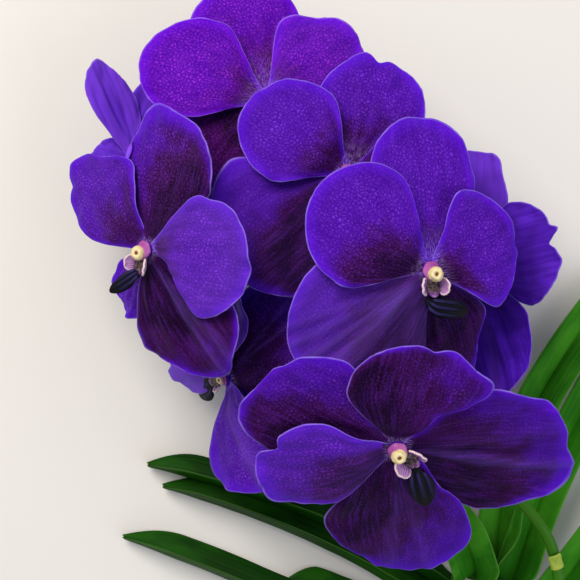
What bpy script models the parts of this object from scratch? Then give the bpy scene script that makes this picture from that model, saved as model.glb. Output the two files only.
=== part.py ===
"""A cut vanda orchid: a flowering shoot laid on its back, with its blooms facing up.

A short leafy stem carries two ranks of strap leaves, and the flower stalk that grows from
it holds eight blooms on ridged pedicels. Each bloom has three sepals, two petals that lie
in front of them, a column and a lip. Units are metres, +Z is up, and the surface that the
shoot lies on is at z = 0.
"""

import math
from dataclasses import dataclass, replace

import bmesh
import bpy
from mathutils import Matrix, Vector

# Sizes of a bloom, about 110 mm across
DORSAL_LENGTH, DORSAL_WIDTH = 0.058, 0.043
PETAL_LENGTH, PETAL_WIDTH = 0.055, 0.045
LATERAL_LENGTH, LATERAL_WIDTH = 0.060, 0.050
TEPAL_THICKNESS = 0.0008
TEPAL_CELLS = 5
TEPAL_ROOT = 0.0012
CLAW_SHARE = 0.30
PETAL_LIFT = 0.0035

# Middle of a bloom, measured along its own axis from the tepals' plane
RECEPTACLE_RADIUS = 0.0036
RECEPTACLE_BACK, RECEPTACLE_FRONT = -0.0034, 0.0011
SPUR_LENGTH, SPUR_RADIUS = 0.0065, 0.0018
SEAT_GAP = 0.0003
FOOT_RADIUS, FOOT_HEIGHT = 0.0042, 0.0012
COLUMN_LENGTH, COLUMN_RADIUS = 0.0056, 0.0025
COLUMN_LEAN = 18
CAP_RADIUS = 0.0024
SIDE_LOBE_LENGTH, SIDE_LOBE_HEIGHT, SIDE_LOBE_THICKNESS = 0.0072, 0.0052, 0.0019
LIP_ROOT, LIP_LENGTH, LIP_WIDTH, LIP_THICKNESS = 0.0088, 0.0142, 0.0072, 0.0016

# A lip that is turned to one side, in degrees, and how much further out it starts then
LIP_TURN = {"bloom_1": (-18, 0.0008), "bloom_2": (8, 0.0003), "bloom_4": (-12, 0.0005), "bloom_6": (-32, -0.0008)}

# Flower stalk, its bracts and the pedicels
PEDICEL_RADIUS, OVARY_RADIUS = 0.0014, 0.0020
STALK_RADIUS, STALK_TIP_RADIUS = 0.0030, 0.0018
STALK_SIDES, PEDICEL_SIDES = 10, 8
PEDICEL_STEPS, PEDICEL_STUB = 6, 0.0020
BRACT_LENGTH, BRACT_RADIUS = 0.0055, 0.0026
BARE_BRACT = 0.30

# Strap leaves, folded along their middles
LEAF_THICKNESS = 0.0016
LEAF_STEPS, LEAF_CELLS_ACROSS = 10, 4
LEAF_HALF_WIDTH = 0.0125
LEAF_FOLD = 44

# Leafy stem: a flattened core in two ranks of sheaths, one for each leaf
STEM_FOOT = Vector((0.1010, -0.2260, 0.0070))
STEM_TOP = Vector((0.0879, -0.1360, 0.0074))
STEM_WIDE, STEM_DEEP = 0.0050, 0.0066
SHEATH_FIRST, SHEATH_STEP = 0.014, 0.0088
SHEATH_REACH, SHEATH_LENGTH = 0.0085, 0.0170
SHEATH_WIDE, SHEATH_DEEP = 0.0042, 0.0082
LEAF_GAP = 0.0014

# Where the middle of the shoot's box is in the coordinates used here, on the surface. It becomes the origin
MIDDLE = Vector((0.06384, -0.0474, 0))

VIOLET = (0.115, 0.012, 0.45, 1)
PALE_VIOLET = (0.42, 0.25, 0.75, 1)
ORCHID_WHITE = (0.80, 0.55, 0.66, 1)
LIP_BLUE = (0.020, 0.012, 0.055, 1)
STALK_GREEN = (0.13, 0.26, 0.03, 1)
LEAF_GREEN = (0.030, 0.135, 0.012, 1)


def smooth(x):
    """0 below 0, 1 above 1 and an even S between them."""
    x = min(1.0, max(0.0, x))
    return x * x * (3 - 2 * x)


@dataclass
class Tepal:
    """One sepal or petal. Angles are degrees and lengths metres."""

    angle: float  # round the bloom from straight up, towards the left of one who faces it
    length: float
    width: float
    pitch: float = 0  # how far forward it leaves the bloom's plane
    curl: float = -14  # change of that by its tip
    cup: float = 0.0  # how far its margins come forward, as a share of its half width
    twist: float = 0  # turn about its own rib by its tip
    lift: float = 0  # step forward at its claw
    wave: float = 0.0012  # height of the waves in its margin
    waves: int = 5
    phase: float = 0
    bend: float = 0  # sideways reach of its tip, as a share of its length
    full: float = 0.55  # share of its length where it is fully wide
    claw: float = CLAW_SHARE  # width of its root as a share of its width
    root: float = TEPAL_ROOT  # how far from the bloom's axis it starts
    rise: float = 0  # how far in front of the bloom's plane it starts
    trims: tuple = ()  # places on its margin, in degrees round from the tip: how far in each is cut, how wide


def spine(tepal, share):
    """(outwards, forwards, pitch) of the rib at a share of the tepal's length."""
    start, turn = math.radians(tepal.pitch), math.radians(tepal.curl)
    pitch = start + turn * share
    if abs(turn) < 1e-4:
        return tepal.length * share * math.cos(start), tepal.length * share * math.sin(start), pitch
    reach = tepal.length / turn
    return reach * (math.sin(pitch) - math.sin(start)), reach * (math.cos(start) - math.cos(pitch)), pitch


def tepal_point(tepal, x, y):
    """The point of a tepal at x, y of a square from -1 to 1, as (outwards, sideways, forwards)."""
    p = x * math.sqrt(1 - y * y / 2)
    q = y * math.sqrt(1 - x * x / 2)
    around, rim = math.atan2(q, p), (p * p + q * q) ** 2
    trim = 0
    for place, deep, wide in tepal.trims:
        off = (around - math.radians(place) + math.pi) % (2 * math.pi) - math.pi
        trim -= deep * math.exp(-(off / math.radians(wide)) ** 2)
    p, q = p * (1 + trim * rim), q * (1 + trim * rim)
    share = (1 + p) / 2
    out, front, pitch = spine(tepal, share)
    broad = tepal.claw + (1 - tepal.claw) * smooth(share / tepal.full)
    side = q * broad * tepal.width / 2
    ripple = tepal.wave * rim * smooth(share * 2) * math.sin(tepal.waves * around + tepal.phase)
    rise = tepal.cup * 2 * side * side / tepal.width + ripple
    turn = math.radians(tepal.twist) * share
    across = side * math.cos(turn) - rise * math.sin(turn)
    above = side * math.sin(turn) + rise * math.cos(turn)
    step = tepal.lift * smooth((share - 0.06) / 0.22)
    return (
        tepal.root + out - above * math.sin(pitch),
        across + tepal.bend * tepal.length * share * share,
        tepal.rise + front + above * math.cos(pitch) + step,
    )


class Bloom:
    """Where a bloom is, which way it faces and its five tepals."""

    def __init__(self, at, tilt, towards, up, tepals, node):
        """tilt is degrees from facing straight up, towards and up are compass directions in the
        plane of the surface, in degrees from +X, and node is the share of the flower stalk that
        its pedicel grows from."""
        tilt, towards, up = (math.radians(value) for value in (tilt, towards, up))
        self.at = Vector(at)
        self.facing = Vector((math.sin(tilt) * math.cos(towards), math.sin(tilt) * math.sin(towards), math.cos(tilt)))
        wanted = Vector((math.cos(up), math.sin(up), 0))
        self.up = (wanted - self.facing * wanted.dot(self.facing)).normalized()
        self.right = self.up.cross(self.facing)
        self.tepals = tepals
        self.node = node

    def place(self, right, up, forward):
        return self.at + self.right * right + self.up * up + self.facing * forward

    def place_tepal(self, tepal, x, y):
        out, side, front = tepal_point(tepal, x, y)
        angle = math.radians(tepal.angle)
        outwards = self.up * math.cos(angle) - self.right * math.sin(angle)
        sideways = self.facing.cross(outwards)
        return self.at + outwards * out + sideways * side + self.facing * front


def sepals_and_petals(dorsal, left_petal, right_petal, left_sepal, right_sepal):
    """Five tepals of the usual size and place, each changed as its own dictionary says."""
    usual = (
        (dorsal, Tepal(0, DORSAL_LENGTH, DORSAL_WIDTH)),
        (left_petal, Tepal(58, PETAL_LENGTH, PETAL_WIDTH, lift=PETAL_LIFT)),
        (right_petal, Tepal(-58, PETAL_LENGTH, PETAL_WIDTH, lift=PETAL_LIFT)),
        (left_sepal, Tepal(130, LATERAL_LENGTH, LATERAL_WIDTH)),
        (right_sepal, Tepal(-130, LATERAL_LENGTH, LATERAL_WIDTH)),
    )
    return [replace(tepal, **changes) for changes, tepal in usual]


BLOOMS = {
    "bloom_1": Bloom(  # lowest on the stalk, in front at the foot of the spray
        at=(0.0421, -0.0622, 0.110), tilt=32, towards=-82, up=136, node=0.50,
        tepals=sepals_and_petals(
            dict(angle=12, length=0.066, width=0.050, trims=((-20, 0.12, 26), (48, -0.12, 22))),
            dict(angle=51, length=0.056, width=0.041, trims=((46, -0.20, 18),)),
            dict(angle=-63, length=0.047, width=0.056, trims=((-98, 0.15, 20),)),
            dict(angle=132, length=0.071, width=0.063, trims=((-50, 0.15, 26), (35, -0.10, 20))),
            dict(angle=-148, length=0.072, width=0.059, trims=((-24, -0.20, 24),))),
    ),
    "bloom_2": Bloom(  # at the right, behind bloom 3, seen from behind
        at=(0.0780, 0.0108, 0.050), tilt=141, towards=5, up=88, node=0.575,
        tepals=sepals_and_petals(
            dict(length=0.050, width=0.035, pitch=4, curl=-4, trims=((-40, 0.12, 30),)),
            dict(angle=78, length=0.044),
            dict(angle=-65, length=0.050),
            dict(angle=161, length=0.057, width=0.046, pitch=-1, curl=-2, trims=((-60, 0.12, 40),)),
            dict(angle=-128, length=0.046, pitch=1, curl=2)),
    ),
    "bloom_3": Bloom(  # the one that faces the viewer most
        at=(0.0562, 0.0078, 0.098), tilt=18, towards=-5, up=92, node=0.64,
        tepals=sepals_and_petals(
            dict(angle=1.5, length=0.062, width=0.0465, pitch=-2),
            dict(angle=56, length=0.057, width=0.053, trims=((-115, 0.12, 32),)),
            dict(angle=-68, length=0.0405, width=0.050, pitch=-2, curl=-15),
            dict(angle=126, length=0.065, width=0.062, trims=((95, -0.20, 40),)),
            dict(angle=-155, length=0.055, width=0.040, pitch=-12, curl=-20, trims=((58, 0.28, 34),))),
    ),
    "bloom_4": Bloom(  # low at the left, behind bloom 6
        at=(-0.0275, -0.0381, 0.050), tilt=65, towards=195, up=15, node=0.70,
        tepals=sepals_and_petals(
            dict(angle=24, length=0.047, width=0.050, pitch=-28, curl=-12),
            dict(angle=70, length=0.050),
            dict(angle=-75, length=0.051, width=0.052, twist=-22, trims=((-95, -0.36, 36),)),
            dict(angle=135, length=0.050),
            dict(angle=177, length=0.038, width=0.028, curl=6)),
    ),
    "bloom_5": Bloom(  # above bloom 3
        at=(0.0239, 0.0478, 0.084), tilt=8, towards=60, up=86, node=0.76,
        tepals=sepals_and_petals(
            dict(angle=-16, length=0.0530, width=0.046, pitch=1, curl=-12, trims=((5, 0.10, 18),)),
            dict(angle=58, length=0.0500, width=0.0450, full=0.48, curl=-10),
            dict(angle=-82, length=0.046, width=0.042, curl=-30),
            dict(angle=134, length=0.061, width=0.060, trims=((-85, -0.20, 35),)),
            dict(angle=-120, length=0.045, width=0.036, curl=-40)),
    ),
    "bloom_6": Bloom(  # at the left, facing left
        at=(-0.0592, 0.0167, 0.080), tilt=40, towards=185, up=70, node=0.82,
        tepals=sepals_and_petals(
            dict(length=0.056, width=0.047, trims=((32, -0.22, 20), (-68, -0.16, 28), (80, 0.16, 26))),
            dict(angle=61, length=0.059, width=0.046, trims=((-36, 0.28, 28), (-66, 0.14, 22), (88, 0.15, 26))),
            dict(angle=-81, length=0.054, width=0.051, full=0.6, trims=((-118, 0.30, 26), (-152, 0.36, 24))),
            dict(angle=154, length=0.036, width=0.026, pitch=-10, curl=-10),
            dict(trims=((-114, -0.36, 24), (-55, 0.11, 24)))),
    ),
    "bloom_7": Bloom(  # upper left, turned away
        at=(-0.0658, 0.0526, 0.042), tilt=165, towards=200, up=113, node=0.90,
        tepals=sepals_and_petals(
            dict(length=0.051, width=0.024, twist=36, trims=((-60, 0.20, 40),)),
            dict(angle=51, length=0.050, width=0.038),
            dict(angle=-46, length=0.021, width=0.020, curl=20, lift=0.001),
            dict(angle=130, length=0.048, width=0.040),
            dict(angle=-155, length=0.030, width=0.028)),
    ),
    "bloom_8": Bloom(  # the topmost
        at=(-0.0100, 0.0805, 0.068), tilt=12, towards=92, up=97, node=0.97,
        tepals=sepals_and_petals(
            dict(angle=6, length=0.060, width=0.046, pitch=-3, trims=((75, -0.14, 40),)),
            dict(angle=62, length=0.055, width=0.050, trims=((92, 0.17, 38),)),
            dict(angle=-62, length=0.047, width=0.043, pitch=-3, curl=-12,
                 trims=((25, -0.09, 24), (100, -0.14, 35))),
            dict(angle=135, length=0.048, width=0.046, pitch=-8, curl=-20),
            dict(angle=-135, length=0.043, width=0.040, pitch=-16, curl=-30)),
    ),
}

# The flower stalk's middle line, from its foot on the leafy stem to its tip
STALK_ROUTE = [Vector(point) for point in (
    (0.0985, -0.1960, 0.0177), (0.108, -0.180, 0.0275), (0.117, -0.150, 0.036), (0.117, -0.120, 0.040),
    (0.103, -0.095, 0.046), (0.0607, -0.0563, 0.050), (0.0216, -0.0173, 0.051), (0.000, 0.0173, 0.050),
    (-0.0087, 0.052, 0.047), (-0.0109, 0.0740, 0.040),
)]


@dataclass
class Leaf:
    """One strap leaf. Its rib runs from its sheath past a middle point to its tip."""

    middle: tuple  # where its rib's curve is drawn towards, in the plane of the surface
    tip: tuple
    arch: float = 0.005  # how far its rib stands up between its ends
    tip_height: float = 0.0038
    roll: float = 22  # how far its fold opens upwards, in degrees
    width: float = LEAF_HALF_WIDTH


# From the top of the stem down, on its left and on its right
LEFT_LEAVES = [
    Leaf(middle=(0.020, -0.0990), tip=(-0.064, -0.0825)),
    Leaf(middle=(0.026, -0.1090), tip=(-0.057, -0.0945)),
    Leaf(middle=(0.040, -0.1420), tip=(0.002, -0.1310), tip_height=0.0042),
    Leaf(middle=(0.020, -0.1470), tip=(-0.075, -0.1155)),
    Leaf(middle=(0.030, -0.1900), tip=(-0.035, -0.1800)),
]
RIGHT_LEAVES = [
    Leaf(middle=(0.106, -0.069), tip=(0.150, 0.022), roll=62, tip_height=0.0011),
    Leaf(middle=(0.128, -0.092), tip=(0.158, -0.004), roll=58, tip_height=0.0011),
    Leaf(middle=(0.145, -0.120), tip=(0.190, -0.052), roll=56, tip_height=0.0011),
    Leaf(middle=(0.152, -0.1580), tip=(0.222, -0.1300), roll=54, tip_height=0.0013),
    Leaf(middle=(0.157, -0.1860), tip=(0.212, -0.1820), roll=50, tip_height=0.0020),
]


def material(name, colour, roughness=0.45):
    made = bpy.data.materials.new(name)
    made.use_nodes = True
    shader = made.node_tree.nodes["Principled BSDF"]
    shader.inputs["Base Color"].default_value = colour
    shader.inputs["Roughness"].default_value = roughness
    made.diffuse_color = colour
    return made


def add(name, data, collection, finish):
    obj = bpy.data.objects.new(name, data)
    collection.objects.link(obj)
    if finish is not None:
        obj.data.materials.append(finish)
    return obj


def sheet(name, collection, columns, rows, thickness, place):
    """A blade: a grid bent by place(x, y), split into triangles, then made thick on both sides."""
    work = bmesh.new()
    bmesh.ops.create_grid(work, x_segments=columns, y_segments=rows, size=1)
    for vertex in work.verts:
        vertex.co = place(vertex.co.x, vertex.co.y)
    bmesh.ops.triangulate(work, faces=work.faces[:])
    mesh = bpy.data.meshes.new(name)
    work.to_mesh(mesh)
    work.free()
    obj = add(name, mesh, collection, None)
    solidify = obj.modifiers.new("Solidify", "SOLIDIFY")
    solidify.thickness = thickness
    solidify.offset = 0
    return obj


def primitive(name, collection, make, matrix_place):
    """A bmesh primitive whose points are moved by matrix_place(point)."""
    work = bmesh.new()
    make(work)
    for vertex in work.verts:
        vertex.co = matrix_place(vertex.co.copy())
    work.normal_update()
    bmesh.ops.recalc_face_normals(work, faces=work.faces)
    mesh = bpy.data.meshes.new(name)
    work.to_mesh(mesh)
    work.free()
    return add(name, mesh, collection, None)


def keep_outer_shell(mesh):
    """Drop every island of faces but the largest, so that a hollow sealed by fusing is filled."""
    work = bmesh.new()
    work.from_mesh(mesh)
    left = set(work.faces)
    islands = []
    while left:
        island, edge = set(), [left.pop()]
        while edge:
            face = edge.pop()
            island.add(face)
            for side in face.edges:
                for other in side.link_faces:
                    if other in left:
                        left.discard(other)
                        edge.append(other)
        islands.append(island)
    islands.sort(key=lambda island: sum(face.calc_area() for face in island), reverse=True)
    for island in islands[1:]:
        bmesh.ops.delete(work, geom=list(island), context="FACES")
    work.to_mesh(mesh)
    work.free()


def joined(name, pieces, collection, finish):
    """One body from overlapping closed pieces, by one Boolean union on their collection."""
    group = bpy.data.collections.new(name + "_pieces")
    bpy.context.scene.collection.children.link(group)
    first, others = pieces[0], pieces[1:]
    for piece in others:
        for owner in list(piece.users_collection):
            owner.objects.unlink(piece)
        group.objects.link(piece)
    union = first.modifiers.new("Union", "BOOLEAN")
    union.operation = "UNION"
    union.operand_type = "COLLECTION"
    union.collection = group
    union.solver = "MANIFOLD"
    bpy.context.view_layer.update()
    graph = bpy.context.evaluated_depsgraph_get()
    mesh = bpy.data.meshes.new_from_object(first.evaluated_get(graph))
    mesh.materials.clear()
    keep_outer_shell(mesh)
    made = add(name, mesh, collection, finish)
    for piece in pieces:
        bpy.data.objects.remove(piece)
    bpy.data.collections.remove(group)
    return made


def smooth_route(points, steps):
    """Points along a Catmull-Rom curve through the given ones, steps to each stretch."""
    ends = [2 * points[0] - points[1], *points, 2 * points[-1] - points[-2]]
    found = []
    for a, b, c, d in zip(ends, ends[1:], ends[2:], ends[3:]):
        for step in range(steps):
            t = step / steps
            found.append(0.5 * (2 * b + (c - a) * t + (2 * a - 5 * b + 4 * c - d) * t * t
                                + (3 * b - 3 * c + d - a) * t * t * t))
    return found + [points[-1].copy()]


def tube(name, collection, points, radii, sides, finish):
    """A capped tube along points: a poly curve with a bevel, as a mesh."""
    curve = bpy.data.curves.new(name, "CURVE")
    curve.dimensions = "3D"
    curve.bevel_depth = 1.0
    curve.bevel_resolution = max(0, sides // 2 - 2)
    curve.use_fill_caps = True
    line = curve.splines.new("POLY")
    line.points.add(len(points) - 1)
    for point, place, radius in zip(line.points, points, radii):
        point.co = (*place, 1)
        point.radius = radius
    drawn = bpy.data.objects.new(name + "_line", curve)
    collection.objects.link(drawn)
    bpy.context.view_layer.update()
    graph = bpy.context.evaluated_depsgraph_get()
    mesh = bpy.data.meshes.new_from_object(drawn.evaluated_get(graph))
    work = bmesh.new()
    work.from_mesh(mesh)
    bmesh.ops.remove_doubles(work, verts=work.verts[:], dist=1e-6)
    work.to_mesh(mesh)
    work.free()
    mesh.materials.clear()
    bpy.data.objects.remove(drawn)
    return add(name, mesh, collection, finish)


def cone(name, collection, sides, low, high, depth, place):
    return primitive(
        name, collection,
        lambda work: bmesh.ops.create_cone(
            work, cap_ends=True, cap_tris=True, segments=sides, radius1=low, radius2=high, depth=depth),
        place,
    )


def ball(name, collection, place):
    return primitive(
        name, collection, lambda work: bmesh.ops.create_icosphere(work, subdivisions=1, radius=1), place)


def build_perianth(name, bloom, collection, finish):
    """The three sepals and two petals, grown together on the receptacle, and the spur behind."""
    height = RECEPTACLE_FRONT - RECEPTACLE_BACK
    middle = (RECEPTACLE_FRONT + RECEPTACLE_BACK) / 2
    pieces = [cone(
        name + "_receptacle", collection, 12, RECEPTACLE_RADIUS * 0.75, RECEPTACLE_RADIUS, height,
        lambda co: bloom.place(co.x, co.y, co.z + middle),
    )]
    pieces.append(cone(
        name + "_spur", collection, 8, SPUR_RADIUS * 0.55, SPUR_RADIUS, SPUR_LENGTH,
        lambda co: bloom.place(co.x, co.y - 0.0022 + co.z * 0.72 - 0.0020, co.z * 0.72 - 0.0032),
    ))
    for number, tepal in enumerate(bloom.tepals):
        pieces.append(sheet(
            f"{name}_tepal_{number}", collection, TEPAL_CELLS, TEPAL_CELLS, TEPAL_THICKNESS,
            lambda x, y, tepal=tepal: bloom.place_tepal(tepal, x, y),
        ))
    return joined(name, pieces, collection, finish)


def build_column(name, bloom, collection, finish):
    """The column with its cap, its foot and the two pale lobes that stand beside it."""
    floor = RECEPTACLE_FRONT + SEAT_GAP
    lean = math.tan(math.radians(COLUMN_LEAN))
    pieces = [cone(
        name + "_foot", collection, 12, FOOT_RADIUS, FOOT_RADIUS * 0.85, FOOT_HEIGHT,
        lambda co: bloom.place(co.x, co.y, co.z + FOOT_HEIGHT / 2 + floor),
    )]

    def lean_out(co):
        along = co.z + COLUMN_LENGTH / 2
        return bloom.place(co.x, co.y + 0.0012 - along * lean, along + floor + FOOT_HEIGHT / 2)

    pieces.append(cone(
        name + "_body", collection, 10, COLUMN_RADIUS, COLUMN_RADIUS * 0.85, COLUMN_LENGTH, lean_out))
    pieces.append(ball(
        name + "_cap", collection,
        lambda co: bloom.place(
            co.x * CAP_RADIUS, co.y * CAP_RADIUS + 0.0012 - COLUMN_LENGTH * lean,
            co.z * CAP_RADIUS * 0.9 + COLUMN_LENGTH + floor),
    ))
    pieces.append(ball(
        name + "_cup", collection,
        lambda co: bloom.place(co.x * 0.0029, co.y * 0.0040 - 0.0052, co.z * 0.0009 + floor + 0.0010)))
    for side in (-1, 1):
        pieces.append(ball(
            f"{name}_lobe_{side}", collection,
            lambda co, side=side: bloom.place(
                side * (0.0026 + co.z * 0.0006) + co.x * SIDE_LOBE_THICKNESS / 2,
                co.y * SIDE_LOBE_LENGTH / 2 - 0.0057,
                co.z * SIDE_LOBE_HEIGHT / 2 + floor + 0.0024),
        ))
    return joined(name, pieces, collection, finish)


def build_lip(name, bloom, collection, finish):
    """The narrow middle lobe of the lip, keeled along its top."""
    turn, further = LIP_TURN.get(name[:7], (0, 0))
    lip = Tepal(
        180 + turn, LIP_LENGTH, LIP_WIDTH, pitch=22, curl=-44, cup=-0.35, wave=0,
        root=LIP_ROOT + further, rise=0.0030, claw=0.45, full=0.6)
    made = sheet(name, collection, 5, 4, LIP_THICKNESS, lambda x, y: bloom.place_tepal(lip, x, y))
    made.data.materials.append(finish)
    return made


def stalk_place(route, share):
    """(place, direction) at a share of the route's steps."""
    at = share * (len(route) - 1)
    low = min(int(at), len(route) - 2)
    return route[low].lerp(route[low + 1], at - low), (route[low + 1] - route[low]).normalized()


def stalk_radius(share):
    return STALK_RADIUS + (STALK_TIP_RADIUS - STALK_RADIUS) * share


def pedicel_points(bloom, route):
    """A curve from just off the stalk's side to just behind the bloom's receptacle."""
    start, along = stalk_place(route, bloom.node)
    back = bloom.place(0, 0, RECEPTACLE_BACK - SEAT_GAP)
    outwards = back - start
    outwards = (outwards - along * outwards.dot(along)).normalized()
    foot = start + outwards * (stalk_radius(bloom.node) + SEAT_GAP + 0.0003)
    start, end = foot + outwards * PEDICEL_STUB, back - bloom.facing * PEDICEL_STUB
    reach = (end - start).length
    leave, arrive = outwards * reach * 0.9, bloom.facing * reach * 0.9
    points = []
    for step in range(PEDICEL_STEPS + 1):
        t = step / PEDICEL_STEPS
        points.append(
            start * (2 * t ** 3 - 3 * t ** 2 + 1) + leave * (t ** 3 - 2 * t ** 2 + t)
            + end * (3 * t ** 2 - 2 * t ** 3) + arrive * (t ** 3 - t ** 2))
    return [foot, *points, back]


def build_pedicel(name, bloom, route, collection, finish):
    points = pedicel_points(bloom, route)
    count = len(points) - 1
    radii = [PEDICEL_RADIUS + (OVARY_RADIUS - PEDICEL_RADIUS) * smooth(step / count) for step in range(count + 1)]
    return tube(name, collection, points, radii, PEDICEL_SIDES, finish)


def build_stalk(route, collection, finish):
    """The flower stalk with a small bract below each pedicel."""
    count = len(route) - 1
    radii = [stalk_radius(step / count) for step in range(count + 1)]
    pieces = [tube("peduncle_line", collection, route, radii, STALK_SIDES, None)]
    shares = [bloom.node for bloom in BLOOMS.values()] + [BARE_BRACT]
    for number, share in enumerate(shares):
        place, along = stalk_place(route, share - 0.020)
        radius = stalk_radius(share)
        side = along.cross(Vector((0, 0, 1))).normalized() * (-1 if number % 2 else 1)

        def lay(co, place=place, along=along, radius=radius, side=side):
            third = along.cross(side)
            size = 1 - 0.62 * (co.z / BRACT_LENGTH + 0.5)
            return (place + along * co.z + side * (co.x * size + radius * 0.35 + co.z * 0.10)
                    + third * co.y * size)

        pieces.append(cone(
            f"peduncle_bract_{number}", collection, 6, BRACT_RADIUS, BRACT_RADIUS, BRACT_LENGTH, lay))
    return joined("peduncle", pieces, collection, finish)


def rest_flat(obj):
    """Cut away what is below the surface, with a box in the cutters' collection."""
    cutters = bpy.data.collections.new("cutters")
    bpy.context.scene.collection.children.link(cutters)
    box = primitive(
        "below_surface", cutters, lambda work: bmesh.ops.create_cube(work, size=1),
        lambda co: Vector((co.x, co.y, co.z - 0.5)))
    cut = obj.modifiers.new("Cut", "BOOLEAN")
    cut.operation = "DIFFERENCE"
    cut.object = box
    cut.solver = "MANIFOLD"
    bpy.context.view_layer.update()
    graph = bpy.context.evaluated_depsgraph_get()
    mesh = bpy.data.meshes.new_from_object(obj.evaluated_get(graph))
    obj.modifiers.remove(cut)
    obj.data = mesh
    bpy.data.objects.remove(box)
    bpy.data.collections.remove(cutters)


def stem_place(distance):
    return STEM_FOOT + (STEM_TOP - STEM_FOOT).normalized() * distance


def leaf_joint(rank, side):
    """Where the leaf of a rank, counted down from the top of the stem, leaves its sheath."""
    along = (STEM_TOP - STEM_FOOT).normalized()
    out = Vector((0, 0, 1)).cross(along) * side
    number = 2 * (4 - rank) + (0 if side > 0 else 1)
    return stem_place(SHEATH_FIRST + SHEATH_STEP * number) + out * SHEATH_REACH, along, out


def build_stem(collection, finish):
    """The leafy stem: a flattened core with ten sheaths, cut across at its foot."""
    along = (STEM_TOP - STEM_FOOT).normalized()
    across = Vector((0, 0, 1)).cross(along).normalized()
    above = along.cross(across) * -1
    length = (STEM_TOP - STEM_FOOT).length

    def core(co):
        return stem_place(co.z + length / 2) + across * co.x * STEM_WIDE + above * co.y * STEM_DEEP

    pieces = [cone("leafy_stem_core", collection, 12, 1, 0.8, length, core)]
    for side in (1, -1):
        for rank in range(5):
            joint, _, out = leaf_joint(rank, side)
            start = joint - out * SHEATH_REACH - along * SHEATH_LENGTH
            start -= out * 0.001
            pieces.append(cone(
                f"leafy_stem_sheath_{side}_{rank}", collection, 8, 1, 0.86, 1,
                lambda co, start=start, joint=joint, out=out: start.lerp(joint, co.z + 0.5)
                + (out * 0.8 - along * 0.35) * co.x * SHEATH_WIDE + above * co.y * SHEATH_DEEP))
    stem = joined("leafy_stem", pieces, collection, finish)
    rest_flat(stem)
    return stem


def leaf_point(leaf, joint, start_direction, out_side, x, y):
    """The point of a strap leaf at x along it and y across it, both from -1 to 1."""
    share = (x + 1) / 2
    tip = Vector((*leaf.tip, leaf.tip_height))
    middle = Vector((*leaf.middle, (joint.z + leaf.tip_height) / 2 + leaf.arch * 2))
    fork = 0.0016 * share ** 12 * (0.35 if y > 0 else 1.0) * abs(y)
    share = min(1.0, share)
    rib = joint * (1 - share) ** 2 + middle * 2 * share * (1 - share) + tip * share * share
    along = ((middle - joint) * 2 * (1 - share) + (tip - middle) * 2 * share).normalized()
    inward = Vector((0, 0, 1)).cross(along).normalized() * -out_side
    upward = along.cross(inward) * out_side * -1
    if upward.z < 0:
        upward = -upward
    roll = math.radians(8 + (leaf.roll - 8) * smooth(share / 0.35))
    opening = inward * math.cos(roll) + upward * math.sin(roll)
    beside = upward * math.cos(roll) - inward * math.sin(roll)
    fold = math.radians(LEAF_FOLD + 6 * share)
    broad = leaf.width * (0.40 + 0.60 * smooth(share / 0.24)) * (1 - 0.10 * share - 0.70 * share ** 16)
    reach = abs(y) * broad
    return (rib + opening * math.cos(fold) * reach + beside * math.copysign(math.sin(fold) * reach, y)
            + along * fork)


def build_leaf(name, leaf, rank, side, collection, finish):
    joint, along, out = leaf_joint(rank, side)
    joint = joint + out * LEAF_GAP + along * (LEAF_GAP * 0.4)
    made = sheet(
        name, collection, LEAF_STEPS, LEAF_CELLS_ACROSS, LEAF_THICKNESS,
        lambda x, y: leaf_point(leaf, joint, out, side, x, y))
    made.data.materials.append(finish)
    return made


def main():
    for obj in list(bpy.data.objects):
        bpy.data.objects.remove(obj)
    scene = bpy.context.scene
    shoot = bpy.data.collections.new("cut_vanda_orchid")
    scene.collection.children.link(shoot)
    violet = material("violet tepal", VIOLET)
    cream = material("column and side lobes", ORCHID_WHITE)
    dark = material("dark lip", LIP_BLUE)
    lilac = material("pale pedicel", PALE_VIOLET)
    green = material("flower stalk", STALK_GREEN)
    leafy = material("strap leaf", LEAF_GREEN)
    route = smooth_route(STALK_ROUTE, 2)
    build_stalk(route, shoot, green)
    build_stem(shoot, green)
    for name, bloom in BLOOMS.items():
        build_perianth(name + "_perianth", bloom, shoot, violet)
        build_column(name + "_column", bloom, shoot, cream)
        build_lip(name + "_lip", bloom, shoot, dark)
        build_pedicel(name + "_pedicel", bloom, route, shoot, lilac)
    for side, word, leaves in ((1, "left", LEFT_LEAVES), (-1, "right", RIGHT_LEAVES)):
        for rank, leaf in enumerate(leaves):
            build_leaf(f"leaf_{word}_{rank + 1}", leaf, rank, side, shoot, leafy)
    for obj in shoot.objects:
        obj.data.transform(Matrix.Translation(-MIDDLE))


main()
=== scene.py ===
# A cut vanda orchid laid on its back: netted violet blooms on an arching flower stalk above
# strap leaves. Lengths are metres, +Z is up and the shoot lies on z = 0.
import math

import bmesh
import bpy
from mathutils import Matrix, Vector, noise


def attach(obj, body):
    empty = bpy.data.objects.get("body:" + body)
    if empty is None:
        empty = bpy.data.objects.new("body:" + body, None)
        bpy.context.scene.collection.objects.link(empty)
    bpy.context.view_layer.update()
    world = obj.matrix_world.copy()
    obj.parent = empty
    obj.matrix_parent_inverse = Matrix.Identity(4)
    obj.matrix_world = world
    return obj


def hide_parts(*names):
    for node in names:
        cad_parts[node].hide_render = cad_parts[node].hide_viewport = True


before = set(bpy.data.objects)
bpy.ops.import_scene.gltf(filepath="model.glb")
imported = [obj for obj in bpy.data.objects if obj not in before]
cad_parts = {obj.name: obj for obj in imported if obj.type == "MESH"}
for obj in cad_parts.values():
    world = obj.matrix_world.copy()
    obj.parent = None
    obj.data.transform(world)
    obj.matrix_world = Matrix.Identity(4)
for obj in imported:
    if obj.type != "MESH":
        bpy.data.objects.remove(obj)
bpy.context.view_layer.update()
print("frame loaded")

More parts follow.
